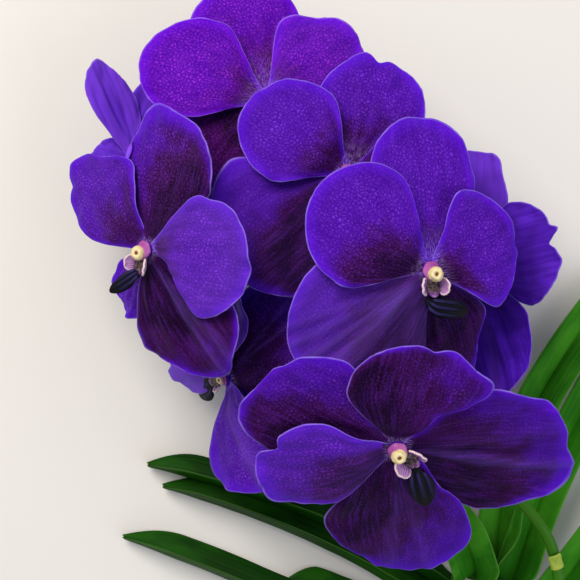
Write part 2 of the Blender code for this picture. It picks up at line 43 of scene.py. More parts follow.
shootMiddle = Vector((0.06384, -0.0474, 0))  # the routes and blooms below are measured from here


# Small helpers

def smooth(x):
    x = min(1.0, max(0.0, x))
    return x * x * (3 - 2 * x)


def blend(a, b, share):
    return a + (b - a) * share


def hexColour(text):  # sRGB hex to the linear colour that a shader takes
    parts = [int(text[k:k + 2], 16) / 255 for k in (1, 3, 5)]
    return [c / 12.92 if c <= 0.04045 else ((c + 0.055) / 1.055) ** 2.4 for c in parts] + [1.0]


def addNode(tree, kind, settings=None, inputs=None):  # a node with its settings, values and links
    node = tree.nodes.new(kind)
    for name, value in (settings or {}).items():
        setattr(node, name, value)
    for name, value in (inputs or {}).items():
        if isinstance(value, bpy.types.NodeSocket):
            tree.links.new(value, node.inputs[name])
        else:
            node.inputs[name].default_value = hexColour(value) if str(value).startswith("#") else value
    return node


def newMaterial(name, roughness, **fixed):  # returns the material, its tree and its shader
    made = bpy.data.materials.new(name)
    made.use_nodes = True
    shader = made.node_tree.nodes["Principled BSDF"]
    shader.inputs["Roughness"].default_value = roughness
    for socket, value in fixed.items():
        shader.inputs[socket.replace("_", " ")].default_value = value
    return made, made.node_tree, shader


def blade(name, columns, rows, place, depth, fields, materials):
    # A closed thin blade: place(x, y) gives its middle surface for x along it and y across it,
    # both from -1 to 1, depth(x, y) its thickness, and fields(x, y, face) its painted values. A
    # second material goes on its back.
    xs = [-1 + 2 * i / columns for i in range(columns + 1)]
    ys = [-1 + 2 * j / rows for j in range(rows + 1)]
    grid = [[Vector(place(x, y)) for y in ys] for x in xs]
    points, values, index = [], [], {}
    for i, x in enumerate(xs):
        for j, y in enumerate(ys):
            along = grid[min(i + 1, columns)][j] - grid[max(i - 1, 0)][j]
            across = grid[i][min(j + 1, rows)] - grid[i][max(j - 1, 0)]
            if along.cross(across).length < 1e-14:  # a collapsed corner borrows its neighbour's
                a, b = min(max(i, 1), columns - 1), min(max(j, 1), rows - 1)
                along = grid[a + 1][b] - grid[a - 1][b]
                across = grid[a][b + 1] - grid[a][b - 1]
            normal = along.cross(across).normalized()
            half = depth(x, y) / 2
            for face in (1, -1):
                index[i, j, face] = len(points)
                points.append(grid[i][j] + normal * half * face)
                values.append(fields(x, y, face))
    faces, sides = [], []
    for i in range(columns):
        for j in range(rows):
            for face in (1, -1):
                ring = [index[a, b, face] for a, b in ((i, j), (i + 1, j), (i + 1, j + 1), (i, j + 1))]
                faces.append(ring if face > 0 else ring[::-1])
                sides.append(0 if face > 0 else 1)
    rim = ([(i, 0) for i in range(columns)] + [(columns, j) for j in range(rows)]
           + [(i, rows) for i in range(columns, 0, -1)] + [(0, j) for j in range(rows, 0, -1)])
    for a, b in zip(rim, rim[1:] + rim[:1]):
        faces.append([index[(*a, 1)], index[(*a, -1)], index[(*b, -1)], index[(*b, 1)]])
        sides.append(0)
    return meshObject(name, points, faces, values, materials, sides if len(materials) > 1 else None)


def meshObject(name, points, faces, values, materials, slots=None):
    mesh = bpy.data.meshes.new(name)
    mesh.from_pydata([tuple(Vector(p) - shootMiddle) for p in points], [], faces)
    for key, example in values[0].items():
        if isinstance(example, tuple):
            layer = mesh.attributes.new(key, "FLOAT_VECTOR", "POINT")
            layer.data.foreach_set("vector", [c for value in values for c in value[key]])
        else:
            layer = mesh.attributes.new(key, "FLOAT", "POINT")
            layer.data.foreach_set("value", [value[key] for value in values])
    for material in materials:
        mesh.materials.append(material)
    for number, polygon in enumerate(mesh.polygons):
        polygon.use_smooth = True
        if slots:
            polygon.material_index = slots[number]
    obj = bpy.data.objects.new(name, mesh)
    bpy.context.scene.collection.objects.link(obj)
    return obj


def joinInto(name, objects):  # one object from several, material slots and painted values kept
    with bpy.context.temp_override(active_object=objects[0], selected_editable_objects=objects):
        bpy.ops.object.join()
    objects[0].name = name
    objects[0].data.name = name
    return objects[0]


def evenly(steps):
    return [k / steps for k in range(steps + 1)]


def ringsOf(profile, count, point):  # point(place, angle) for each place of a profile, right round
    return [[point(place, 2 * math.pi * k / count) for k in range(count)] for place in profile]


def outwardFaces(made):
    work = bmesh.new()
    work.from_mesh(made.data)
    work.normal_update()
    bmesh.ops.recalc_face_normals(work, faces=work.faces)
    work.to_mesh(made.data)
    work.free()
    return made


def skin(name, rings, paint, materials):
    # A closed body through rings of points, all with the same count. paint(ring, spoke) gives
    # the painted values of a point.
    count, last = len(rings[0]), len(rings) - 1
    points = [p for ring in rings for p in ring]
    values = [paint(along, j / count) for along in evenly(last) for j in range(count)]
    faces = []
    for i in range(last):
        for j in range(count):
            k = (j + 1) % count
            faces.append([i * count + j, i * count + k, (i + 1) * count + k, (i + 1) * count + j])
    for i, order in ((0, -1), (last, 1)):
        points.append(sum((Vector(p) for p in rings[i]), Vector()) / count)
        values.append(paint(i / last, 0))
        for j in range(count):
            faces.append([i * count + j, i * count + (j + 1) % count, len(points) - 1][::order])
    return outwardFaces(meshObject(name, points, faces, values, materials))


def smoothRoute(points, steps):  # points along a smooth curve through the given ones
    ends = [2 * points[0] - points[1], *points, 2 * points[-1] - points[-2]]
    found = []
    for a, b, c, d in zip(ends, ends[1:], ends[2:], ends[3:]):
        for step in range(steps):
            t = step / steps
            found.append(0.5 * (2 * b + (c - a) * t + (2 * a - 5 * b + 4 * c - d) * t * t
                                + (3 * b - 3 * c + d - a) * t * t * t))
    return found + [points[-1].copy()]


# Materials. The painted values come from the meshes: flat is a place on the blade in
# millimetres across and along it, and rim the millimetres in from its edge.

def painted(tree, *names):  # the values painted on a mesh, one output for each name
    return [addNode(tree, "ShaderNodeAttribute", {"attribute_name": name}).outputs[
        "Vector" if name == "flat" else "Fac"] for name in names]


def figure(tree, operation, *values, clamp=False):
    return addNode(tree, "ShaderNodeMath", {"operation": operation, "use_clamp": clamp},
                   dict(enumerate(values))).outputs[0]


def times(tree, a, b):  # kept from 0 to 1
    return figure(tree, "MULTIPLY", a, b, clamp=True)


def ramp(tree, value, low, high, start=0.0, end=1.0):  # smoothly from start at low to end at high
    return addNode(tree, "ShaderNodeMapRange", {"interpolation_type": "SMOOTHSTEP"}, {
        0: value, 1: low, 2: high, 3: start, 4: end}).outputs[0]


def laid(tree, share, under, over):  # one colour laid over another by a share
    return addNode(tree, "ShaderNodeMix", {"data_type": "RGBA"}, {
        0: share, 6: under, 7: over}).outputs[2]


def stretched(tree, place, factors):
    return addNode(tree, "ShaderNodeVectorMath", {"operation": "MULTIPLY"}, {
        0: place, 1: factors}).outputs[0]


def clouds(tree, place, scale, detail, output="Fac"):
    return addNode(tree, "ShaderNodeTexNoise", {}, {
        "Vector": place, "Scale": scale, "Detail": detail}).outputs[output]


def cover(tree, shader, colour, height, distance, strength=1.0):  # the colour and the fine relief
    tree.links.new(colour, shader.inputs["Base Color"])
    bump = addNode(tree, "ShaderNodeBump", {}, {
        "Height": height, "Distance": distance, "Strength": strength})
    tree.links.new(bump.outputs[0], shader.inputs["Normal"])


petalSkin = {"roughness": 0.60, "Specular_IOR_Level": 0.12, "Specular_Tint": hexColour("#9a6aff")}
tepalTones = {  # net, margin, maroon field and near-black throat (dark pigment deepened by painted shade), spots and painted rim highlight of a bloom's face
    "violet": ("#3d0a8c", "#4e10bc", "#2a0632", "#0a020c", "#7a34d4", "#8e72de"),
    "magenta": ("#420090", "#5604c0", "#340640", "#12030f", "#962ed8", "#9a6aea"),
}
cellsPerMm = {"violet": (0.74, 0.60, 0), "magenta": (0.70, 0.58, 0)}


def tepalMaterial(name, tone):
    # Living petal with a matt, velvety skin. The eye gets fuzzy paler spots about 1.5 mm apart in
    # a dark net, a maroon field of dark pigment and painted shade that deepens towards the bloom's
    # middle and on one side, paler streaks and backs with painted sheen, white flecks beside the
    # column and a thin broken pale rim painted as an edge highlight.
    net, margin, maroon, throat, light, rimHighlight = tepalTones[tone]
    made, tree, shader = newMaterial(name, **petalSkin)
    flat, rim, shade, glow, spotty, pale = painted(tree, "flat", "rim", "shade", "glow", "spotty", "pale")

    # the net: cells of 1.4 by 1.7 mm parted by dark lines, broken by a maze and fainter here and there
    drift = addNode(tree, "ShaderNodeVectorMath", {"operation": "MULTIPLY_ADD"}, {
        0: clouds(tree, flat, 0.5, 2.0, "Color"), 1: (1.8, 1.8, 0), 2: flat}).outputs[0]
    cells = addNode(
        tree, "ShaderNodeTexVoronoi", {"voronoi_dimensions": "2D", "feature": "DISTANCE_TO_EDGE"},
        {"Vector": stretched(tree, drift, cellsPerMm[tone]), "Scale": 1.0}).outputs["Distance"]
    maze = ramp(tree, clouds(tree, drift, 1.0, 1.0), 0.36, 0.62, 0.25, 1.0)
    patchy = ramp(tree, clouds(tree, flat, 0.13, 3.0), 0.30, 0.66, 0.45, 1.0)
    mottle = times(tree, times(tree, ramp(tree, cells, 0.0, 0.40), maze), patchy)

    # the field: blue-violet margin, netted middle, maroon to black where dark pigment and painted shade lie
    # thick
    cloud = addNode(tree, "ShaderNodeMapRange", {}, {
        0: clouds(tree, flat, 0.10, 4.0), 1: 0.25, 2: 0.75, 3: -0.22, 4: 0.22}).outputs[0]
    pigmentAndShade = figure(tree, "ADD", shade, cloud, clamp=True)
    ground = laid(tree, ramp(tree, rim, 0.0, 6.0), margin, net)
    ground = laid(tree, ramp(tree, pigmentAndShade, 0.05, 0.65), ground, maroon)
    ground = laid(tree, ramp(tree, pigmentAndShade, 0.70, 1.10), ground, throat)
    # glow lays a paler lilac: pale streaks with painted sheen
    ground = laid(tree, times(tree, glow, 0.8), ground, "#6e50b8")

    # lengthwise veins, then the spots, dusky ones in the dark field of pigment and painted shade
    veins = ramp(tree, clouds(tree, stretched(tree, drift, (0.9, 0.07, 0)), 1.0, 3.0), 0.42, 0.72)
    faint = figure(tree, "MULTIPLY_ADD", glow, 0.5, 0.12, clamp=True)
    ground = laid(tree, times(tree, veins, faint), ground, light)
    ground = laid(tree, times(tree, mottle, spotty), ground, laid(tree, pigmentAndShade, light, "#4e1e62"))

    # white flecks at the foot of the tepal and the pale rim line, a painted edge highlight
    flecks = ramp(tree, clouds(tree, stretched(tree, flat, (1.5, 0.45, 0)), 1.0, 1.0), 0.44, 0.60)
    ground = laid(tree, times(tree, flecks, pale), ground, "#b494e6")
    ground = laid(tree, times(tree, ramp(tree, rim, 0.62, 0.05, 0.0, 0.85), patchy), ground, rimHighlight)
    cover(tree, shader, ground, mottle, 0.00015, 0.5)
    return made


def tepalBackMaterial(name, plain, streak, dusky, rimHighlight, lighterTone):
    # The back of a petal: smoother and plainer violet with faint lengthwise veins. Dark pigment and
    # painted shade darken it, painted sheen pales it and a painted highlight runs along its rim.
    made, tree, shader = newMaterial(name, **petalSkin)
    flat, rim, shade, glow = painted(tree, "flat", "rim", "shade", "glow")
    veins = ramp(tree, clouds(tree, stretched(tree, flat, (0.6, 0.04, 0)), 1.0, 3.0), 0.35, 0.70, 0.0, 0.7)
    cloud = ramp(tree, clouds(tree, flat, 0.12, 3.0), 0.35, 0.70, 0.0, 0.35)
    pigmentAndShade = figure(tree, "MULTIPLY_ADD", shade, 0.75, cloud, clamp=True)
    ground = laid(tree, pigmentAndShade, laid(tree, veins, plain, streak), dusky)
    # glow lays a paler lilac: paler back with painted sheen
    ground = laid(tree, glow, ground, lighterTone)
    # the pale rim line, a painted edge highlight
    ground = laid(tree, ramp(tree, rim, 0.60, 0.05, 0.0, 0.6), ground, rimHighlight)
    cover(tree, shader, ground, veins, 0.00015, 0.6)
    return made


tepalFace = {tone: tepalMaterial("netted " + tone + " petal skin", tone) for tone in tepalTones}
tepalBack = tepalBackMaterial("petal back", "#4212a4", "#5626c0", "#1c0648", "#8562da", "#8246e6")


def waxyMaterial(name, roughness, gloss, stops, grain, grainShare, relief):
    # A waxy plant skin whose colour follows the painted value "tone" through the given stops. Its
    # grain, in blotches to the metre, lays the first colour over the others.
    made, tree, shader = newMaterial(name, roughness, Specular_IOR_Level=gloss)
    fade = addNode(tree, "ShaderNodeValToRGB", {}, {"Fac": painted(tree, "tone")[0]})
    elements = fade.color_ramp.elements
    while len(elements) < len(stops):
        elements.new(0.5)
    for element, (place, colour) in zip(elements, stops):
        element.position, element.color = place, hexColour(colour)
    mottle = clouds(tree, addNode(tree, "ShaderNodeTexCoord").outputs["Object"], grain, 3.0)
    share = ramp(tree, mottle, 0.35, 0.70, 0.0, grainShare)
    cover(tree, shader, laid(tree, share, fade.outputs["Color"], stops[0][1]), mottle, relief)
    return made


columnSkin = waxyMaterial(  # waxy column: magenta at its base, white-pink, then the cream cap
    "waxy column", 0.45, 0.35, [(0.0, "#96408e"), (0.28, "#b868ae"), (0.50, "#e2bcdc"), (0.62, "#e6d6b0"),
                                (0.84, "#ded088"), (0.93, "#8c5a20"), (1.0, "#3c220a")], 900, 0.16, 0.00010)
lobeSkin = waxyMaterial(  # ears of the lip: pale outside and at the rim, purple with stripes inside
    "lip ear", 0.45, 0.30, [(0.0, "#e2c8cc"), (0.35, "#b88ac4"), (0.62, "#6a2c80"), (1.0, "#20060e")],
    800, 0.14, 0.00008)
lipSkin = waxyMaterial(  # dark middle lobe: satin blue-black with dull violet ridges
    "dark lip", 0.55, 0.10, [(0.0, "#05050c"), (0.45, "#0a0918"), (0.75, "#1c1840"), (1.0, "#3a3474")],
    600, 0.25, 0.00012)
pedicelSkin = waxyMaterial(  # pale lavender, greener at the stalk
    "pedicel", 0.50, 0.30, [(0.0, "#8f9a6a"), (0.35, "#a088c0"), (1.0, "#b698dc")], 450, 0.25, 0.00010)
stalkSkin = waxyMaterial(  # smooth deep green stalk, yellower towards its tip
    "flower stalk", 0.50, 0.18, [(0.0, "#1e6200"), (0.5, "#366e04"), (1.0, "#a4b648")], 300, 0.30, 0.00010)
sheathSkin = waxyMaterial(  # leaf bases that clasp the stem, green above and dry brown at their feet
    "leaf sheath", 0.50, 0.25, [(0.0, "#2a5416"), (0.6, "#52742a"), (1.0, "#8a7c4a")], 300, 0.35, 0.00015)


def leafMaterial(name, deep, mid, lighterTone, edgeColour):
    # Leathery strap leaf with fine parallel veins about 0.8 mm apart, a pale keel line,
    # yellow-green patches, painted shade over the blade that deepens towards its foot, a few brown
    # specks and a thin paler edge.
    made, tree, shader = newMaterial(name, 0.55, Specular_IOR_Level=0.06)
    flat, rim, keel, shade = painted(tree, "flat", "rim", "keel", "shade")
    veins = clouds(tree, stretched(tree, flat, (1.1, 0.012, 0)), 1.0, 2.0)
    patches = clouds(tree, stretched(tree, flat, (0.05, 0.022, 0)), 1.0, 3.0)
    ground = laid(tree, ramp(tree, veins, 0.32, 0.68), deep, mid)
    for share, colour in (
            (ramp(tree, patches, 0.42, 0.68, 0.0, 0.7), lighterTone), (times(tree, keel, 0.14), lighterTone),
            # painted shade, deepest towards the leaf's foot
            (times(tree, shade, 0.6), "#071504"),
            (ramp(tree, clouds(tree, flat, 0.7, 2.0), 0.70, 0.78, 0.0, 0.4), "#2c2410"),
            (ramp(tree, rim, 0.5, 0.05, 0.0, 0.5), edgeColour)):
        ground = laid(tree, share, ground, colour)
    cover(tree, shader, ground, veins, 0.00025, 0.7)
    return made


leafSkins = {  # face and underside of the leaves on the left, a darker copy with painted shade, and of the ones on the right, a brighter copy with painted light
    1: [leafMaterial("strap leaf face", "#0a2a04", "#0f4006", "#226408", "#40662a"),
        leafMaterial("strap leaf underside", "#0e3a04", "#165206", "#2a720a", "#446a30")],
    -1: [leafMaterial("lit strap leaf face", "#226a0c", "#2a7c10", "#4cac1c", "#6a9c3c"),
         leafMaterial("lit strap leaf underside", "#246c0e", "#2e8014", "#50a824", "#6c9c40")],
}
print("materials made")


# Blooms

usualTepals = [  # dorsal sepal, two petals, two lateral sepals; the angle is from the bloom's top
    dict(angle=0, length=0.058, width=0.043),
    dict(angle=58, length=0.055, width=0.045, lift=0.0035),
    dict(angle=-58, length=0.055, width=0.045, lift=0.0035),
    dict(angle=130, length=0.060, width=0.050),
    dict(angle=-130, length=0.060, width=0.050),
]
tepalDefaults = dict(  # curl: degrees that the middle line bends forwards, never 0
    pitch=0, curl=-14, twist=0, lift=0, full=0.55, claw=0.38,  # claw: width at the foot, full: where it ends
    trims=(),  # where on the rim, how far in, how wide
    fold=None,  # which side, where across, how far over
    creases=(),  # lengthwise folds: where across, how high, how wide, how much painted highlight on the crest
    dark=0.75, side=0.0, reach=0.62, margin=0.74,  # dark pigment with painted shade: how dark, where, how far, where it ends
    glow=0.0, spotty=0.75, flecked=0.0026, hiddenEdge=0,  # paler streaks and backs with painted sheen, spots, flecked foot, side with no rim highlight and painted shade to the edge
)
# root: how far out from the bloom's middle a blade starts
tepalMesh = {"along": 46, "across": 38, "thick": 0.0008, "rimThick": 0.00045, "root": 0.0012}
tepalMargin = ((0.012, 3.1, 0), (0.007, 9.0, 3))  # how far the edge strays, how often, seed
tepalRelief = {  # heights in metres; waves is a count and grooveWide a share of the half width
    "wave": 0.0012, "waves": 5, "ruffle": 0.0014, "swell": 0.0009, "groove": 0.00045, "grooveWide": 0.07,
    "foldRound": 0.0025,
}

# at: the middle of the face, tilt: degrees from straight up, towards: the way it leans, up: the way
# its dorsal sepal points, node: how far up the flower stalk its pedicel starts; violet if no tone
bloomTable = {
    "bloom_1": dict(
        at=(0.0421, -0.0622, 0.110), tilt=32, towards=-82, up=136, node=0.50,
        column=dict(lean=-12, length=0.0040, earLength=0.0086, earHeight=0.0066),
        lip=dict(turn=-34, start=-3, root=0.0098, length=0.0200, width=0.0098, rise=0.0036), tepals=[
            dict(angle=12, length=0.066, width=0.050, dark=1.05, side=0.7, reach=1.2, spotty=0.6,
                 margin=0.84, creases=[(0.25, -0.0008, 0.12, 0)], trims=[(-38, 0.12, 14), (-14, 0.14, 18),
                 (8, 0.12, 20), (48, -0.12, 22)]),
            dict(angle=51, length=0.056, width=0.041, dark=0.8, side=1.0, reach=0.9, glow=0.1, spotty=0.85,
                 trims=[(46, -0.20, 18), (88, 0.06, 20), (-40, 0.20, 11)]),
            dict(angle=-63, length=0.047, width=0.056, dark=0.85, reach=1.8, spotty=0.5, margin=0.86,
                 side=0.3, trims=[(-5, 0.09, 7), (-24, -0.03, 9), (-64, -0.18, 12), (-115, 0.50, 30),
                 (-150, 0.2, 20)]),
            dict(angle=138, length=0.071, width=0.063, claw=0.56, dark=1.0, side=-0.4, reach=1.15,
                 spotty=0.4, margin=0.80, lift=0.0014, creases=[(-0.30, 0.0008, 0.08, 0.1),
                 (0.25, 0.0008, 0.08, 0.1)], trims=[(-50, 0.17, 26), (-105, -0.14, 16), (46, -0.07, 14),
                 (90, 0.20, 26), (124, 0.24, 20)]),
            dict(angle=-148, length=0.072, width=0.059, claw=0.46, dark=1.15, side=-0.4, reach=1.1,
                 spotty=0.3, margin=0.82, lift=-0.0010, creases=[(-0.30, 0.0018, 0.07, 0.24),
                 (-0.12, -0.0008, 0.07, 0), (0.45, 0.0008, 0.12, 0.05)], trims=[(-28, -0.30, 20),
                 (-70, -0.08, 20), (28, 0.05, 20), (2, 0.05, 9), (70, 0.06, 14), (120, -0.28, 22)])]),
    "bloom_2": dict(
        at=(0.0780, 0.0108, 0.050), tilt=141, towards=5, up=88, node=0.575, lip=dict(turn=8), tepals=[
            dict(length=0.050, width=0.035, pitch=4, curl=-4, dark=0.10, glow=0.42, trims=[(46, -0.13, 14),
                 (10, 0.07, 16), (-40, 0.12, 30)]),
            dict(angle=78, length=0.044, dark=0.55, glow=0.08, trims=[(-4, 0.20, 8), (-15, -0.19, 5)]),
            dict(angle=-65, length=0.050),
            dict(angle=161, length=0.057, width=0.046, pitch=-1, curl=-2, trims=[(-60, 0.12, 40)],
                 creases=[(-0.30, -0.0020, 0.10, 0), (0.15, 0.0010, 0.12, 0.2)]),
            dict(angle=-128, length=0.046, pitch=1, curl=2)]),
    "bloom_3": dict(
        at=(0.0562, 0.0078, 0.098), tilt=18, towards=-5, up=92, node=0.64, column=dict(lean=5),
        lip=dict(turn=30, start=-14, swing=52, root=0.0112, length=0.0195, width=0.0078, rise=0.0022),
        tepals=[
            dict(angle=1.5, length=0.062, width=0.0465, pitch=-2, dark=0.22, reach=0.6, flecked=0.018,
                 trims=[(-38, -0.08, 22)]),
            dict(angle=56, length=0.057, width=0.053, dark=0.85, side=0.9, reach=0.75, lift=0.0045,
                 flecked=0.006, trims=[(-115, 0.12, 32)]),
            dict(angle=-68, length=0.0405, width=0.050, pitch=-2, curl=-15, dark=0.7, side=-0.6, reach=0.5,
                 lift=0.0050, flecked=0.006, trims=[(-50, 0.12, 24), (-112, -0.06, 28)]),
            dict(angle=126, length=0.065, width=0.062, dark=1.0, side=0.7, reach=1.0, glow=0.16,
                 spotty=0.55, trims=[(95, -0.20, 40)], hiddenEdge=1, creases=[(-0.62, 0.0006, 0.05, 0.15),
                 (-0.36, 0.0007, 0.05, 0.25), (-0.08, 0.0006, 0.05, 0.40), (0.20, 0.0007, 0.06, 0.45),
                 (0.46, 0.0006, 0.06, 0.20)]),
            dict(angle=-155, length=0.055, width=0.040, pitch=-12, curl=-20, dark=1.1, reach=1.3,
                 spotty=0.5, trims=[(58, 0.28, 34)])]),
    "bloom_4": dict(
        at=(-0.0275, -0.0381, 0.050), tilt=65, towards=195, up=15, node=0.70,
        column=dict(lean=-35, length=0.0016, capRadius=0.0022, footRadius=0.0032, earLength=0.0060,
                    earHeight=0.0040),
        lip=dict(turn=14, length=0.0200, width=0.0115, pitch=10, curl=-20), tepals=[
            dict(angle=24, length=0.047, width=0.050, pitch=-28, curl=-12, dark=0.70, reach=1.2, claw=0.85,
                 spotty=0.9, creases=[(0.42, 0.0004, 0.03, 0.45), (0.10, 0.0004, 0.03, 0.30)],
                 trims=[(36, -0.34, 38), (-95, -0.16, 30)]),
            dict(angle=70, length=0.058, width=0.058, dark=0.7, reach=0.8),
            dict(angle=-75, length=0.051, width=0.052, twist=-22, dark=0.10, reach=0.4, spotty=0.95,
                 fold=(1, 0.74, 80), creases=[(-0.15, 0.0008, 0.18, 0.35)], trims=[(-95, -0.36, 36)]),
            dict(angle=135, length=0.050),
            dict(angle=165, length=0.038, width=0.020, pitch=14, curl=6, dark=0.1, glow=1.0, spotty=0.3)]),
    "bloom_5": dict(
        at=(0.0239, 0.0478, 0.084), tilt=8, towards=60, up=86, node=0.76, tepals=[
            dict(angle=-16, length=0.0530, width=0.046, pitch=1, curl=-12, dark=0.45, reach=0.8,
                 flecked=0.014, trims=[(10, 0.13, 9), (-15, 0.06, 25), (30, -0.03, 10)]),
            dict(length=0.0500, full=0.48, curl=-10, dark=0.5, reach=0.6, lift=0.0050),
            dict(angle=-82, length=0.046, width=0.042, curl=-30),
            dict(angle=134, length=0.061, width=0.060, dark=1.35, side=1.0, reach=1.2, glow=0.05,
                 spotty=0.4, trims=[(-85, -0.20, 35)]),
            dict(angle=-120, length=0.045, width=0.036, curl=-40)]),
    "bloom_6": dict(
        at=(-0.0592, 0.0167, 0.080), tilt=40, towards=185, up=70, node=0.82,
        column=dict(lean=5, length=0.0034),
        lip=dict(turn=-40, start=10, root=0.0084, width=0.0062, pitch=26, curl=-12), tepals=[
            dict(length=0.056, width=0.050, dark=0.95, side=-0.5, reach=1.3, trims=[(32, -0.22, 20),
                 (-68, -0.09, 28)], fold=(1, 0.86, 155)),
            dict(angle=61, length=0.059, width=0.046, dark=0.6, reach=0.7, spotty=0.9,
                 trims=[(-36, 0.28, 28), (-66, 0.14, 22), (88, 0.15, 26), (24, -0.05, 10), (36, 0.07, 6)]),
            dict(angle=-81, length=0.054, width=0.051, full=0.6, dark=0.45, reach=0.5, glow=0.18,
                 spotty=0.95, trims=[(-118, 0.30, 26), (-152, 0.36, 24), (76, 0.04, 7)]),
            dict(angle=154, length=0.036, width=0.026, pitch=-10, curl=-10),
            dict(dark=1.05, reach=1.4, spotty=0.25, margin=0.86, trims=[(-114, -0.36, 24), (-55, 0.11, 24),
                 (2, -0.06, 16)], creases=[(-0.35, -0.0012, 0.12, 0), (0.02, 0.0010, 0.06, 0.22),
                 (0.34, 0.0012, 0.10, 0.15)])]),
    "bloom_7": dict(
        at=(-0.0658, 0.0526, 0.042), tilt=165, towards=200, up=113, node=0.90, tepals=[
            dict(length=0.051, width=0.023, twist=14, dark=0.12, glow=0.55,
                 creases=[(-0.45, -0.0016, 0.12, 0)], trims=[(-105, 0.30, 32), (45, 0.14, 30)]),
            dict(angle=51, length=0.050, width=0.038, dark=0.3, glow=0.3),
            dict(angle=-46, length=0.021, width=0.020, curl=20, lift=0.001, dark=0.2, glow=0.35),
            dict(length=0.048, width=0.040, dark=0.4, glow=0.2),
            dict(angle=-155, length=0.030, width=0.028)]),
    "bloom_8": dict(
        at=(-0.0100, 0.0805, 0.068), tilt=12, towards=92, up=97, node=0.97, tone="magenta", tepals=[
            dict(angle=6, length=0.060, width=0.046, pitch=-3, dark=0.4, reach=0.8, flecked=0.022,
                 trims=[(75, -0.14, 40)]),
            dict(angle=62, width=0.050, dark=0.35, reach=0.6, spotty=0.85, lift=0.0045, flecked=0.010,
                 trims=[(-12, -0.10, 20), (92, 0.17, 38)]),
            dict(angle=-62, length=0.047, width=0.043, pitch=-3, curl=-12, dark=0.3, reach=0.6,
                 lift=0.0050, flecked=0.010, glow=0.06, trims=[(25, -0.09, 24), (100, -0.14, 35)]),
            dict(angle=135, length=0.048, width=0.046, pitch=-8, curl=-20, dark=0.95, reach=1.2),
            dict(angle=-135, length=0.043, width=0.040, pitch=-16, curl=-30, dark=0.9, reach=1.0)]),
}


def bloomFrame(bloom):  # the bloom's middle and its right, up and facing directions
    tilt, towards, up = (math.radians(bloom[key]) for key in ("tilt", "towards", "up"))
    facing = Vector((math.sin(tilt) * math.cos(towards), math.sin(tilt) * math.sin(towards), math.cos(tilt)))
    wanted = Vector((math.cos(up), math.sin(up), 0))
    upward = (wanted - facing * wanted.dot(facing)).normalized()
    return Vector(bloom["at"]), upward.cross(facing), upward, facing


def bloomPlace(axes, right, up, forward):
    at, rightward, upward, facing = axes
    return at + rightward * right + upward * up + facing * forward


def discPoint(x, y):  # a square's point on the round disc that a tepal is drawn on
    return x * math.sqrt(1 - y * y / 2), y * math.sqrt(1 - x * x / 2)


def tepalPlace(axes, tepal, x, y, seed):
    p, q = discPoint(x, y)
    around, out = math.atan2(q, p), math.hypot(p, q)
    trim = sum(stray * noise.noise(Vector((math.cos(around) * often, math.sin(around) * often, seed + more)))
               for stray, often, more in tepalMargin)
    for place, deep, wide in tepal["trims"]:
        off = (around - math.radians(place) + math.pi) % (2 * math.pi) - math.pi
        trim -= deep * math.exp(-(off / math.radians(wide)) ** 2)
    edge = out ** min(4.0, max(0.25, 0.85 / max(0.05, -trim) - 1))  # a deep trim reaches further in
    p, q = p * (1 + trim * edge), q * (1 + trim * edge)
    share = (1 + p) / 2

    # the middle line is an arc, so curl is never exactly 0
    start, turn = math.radians(tepal["pitch"]), math.radians(tepal["curl"])
    pitch = start + turn * share
    reach = tepal["length"] / turn
    forth = reach * (math.sin(pitch) - math.sin(start))
    front = reach * (math.cos(start) - math.cos(pitch))
    side = q * blend(tepal["claw"], 1, smooth(share / tepal["full"])) * tepal["width"] / 2

    # waves at the rim, swellings, the groove along the middle, creases and the folded margin
    rim = min(1, p * p + q * q) ** 2 * smooth(share * 2)
    rise = tepalRelief["wave"] * rim * math.sin(tepalRelief["waves"] * around)
    rise += tepalRelief["ruffle"] * rim * noise.noise(Vector((p * 4.2, q * 4.2, seed * 1.7 + 5)))
    rise += tepalRelief["swell"] * noise.noise(Vector((p * 2.4, q * 5.0, seed + 9))) * smooth(share * 3)
    groove = math.exp(-(q / tepalRelief["grooveWide"]) ** 2)
    rise -= tepalRelief["groove"] * groove * (1 - 0.6 * share) * smooth(share * 4)
    for place, high, wide, _ in tepal["creases"]:
        rise += high * math.exp(-((q - place * share) / wide) ** 2) * smooth(share * 3) * (1 - 0.5 * edge)
    if tepal["fold"]:
        foldSide, foldStart, foldAngle = tepal["fold"]
        foldLine = foldStart * tepal["width"] / 2
        beyond = foldSide * side - foldLine
        if beyond > 0:
            bend = math.radians(foldAngle) * smooth(beyond / tepalRelief["foldRound"])
            side = foldSide * (foldLine + beyond * math.cos(bend))
            rise += beyond * math.sin(bend)

    turned = math.radians(tepal["twist"]) * share
    across = side * math.cos(turned) - rise * math.sin(turned)
    above = side * math.sin(turned) + rise * math.cos(turned)
    outwardsBy = tepalMesh["root"] + forth - above * math.sin(pitch)
    forwardsBy = front + above * math.cos(pitch) + tepal["lift"] * smooth((share - 0.06) / 0.22)
    at, rightward, upward, facing = axes
    angle = math.radians(tepal["angle"])
    outwards = upward * math.cos(angle) - rightward * math.sin(angle)
    return at + outwards * outwardsBy + facing.cross(outwards) * across + facing * forwardsBy


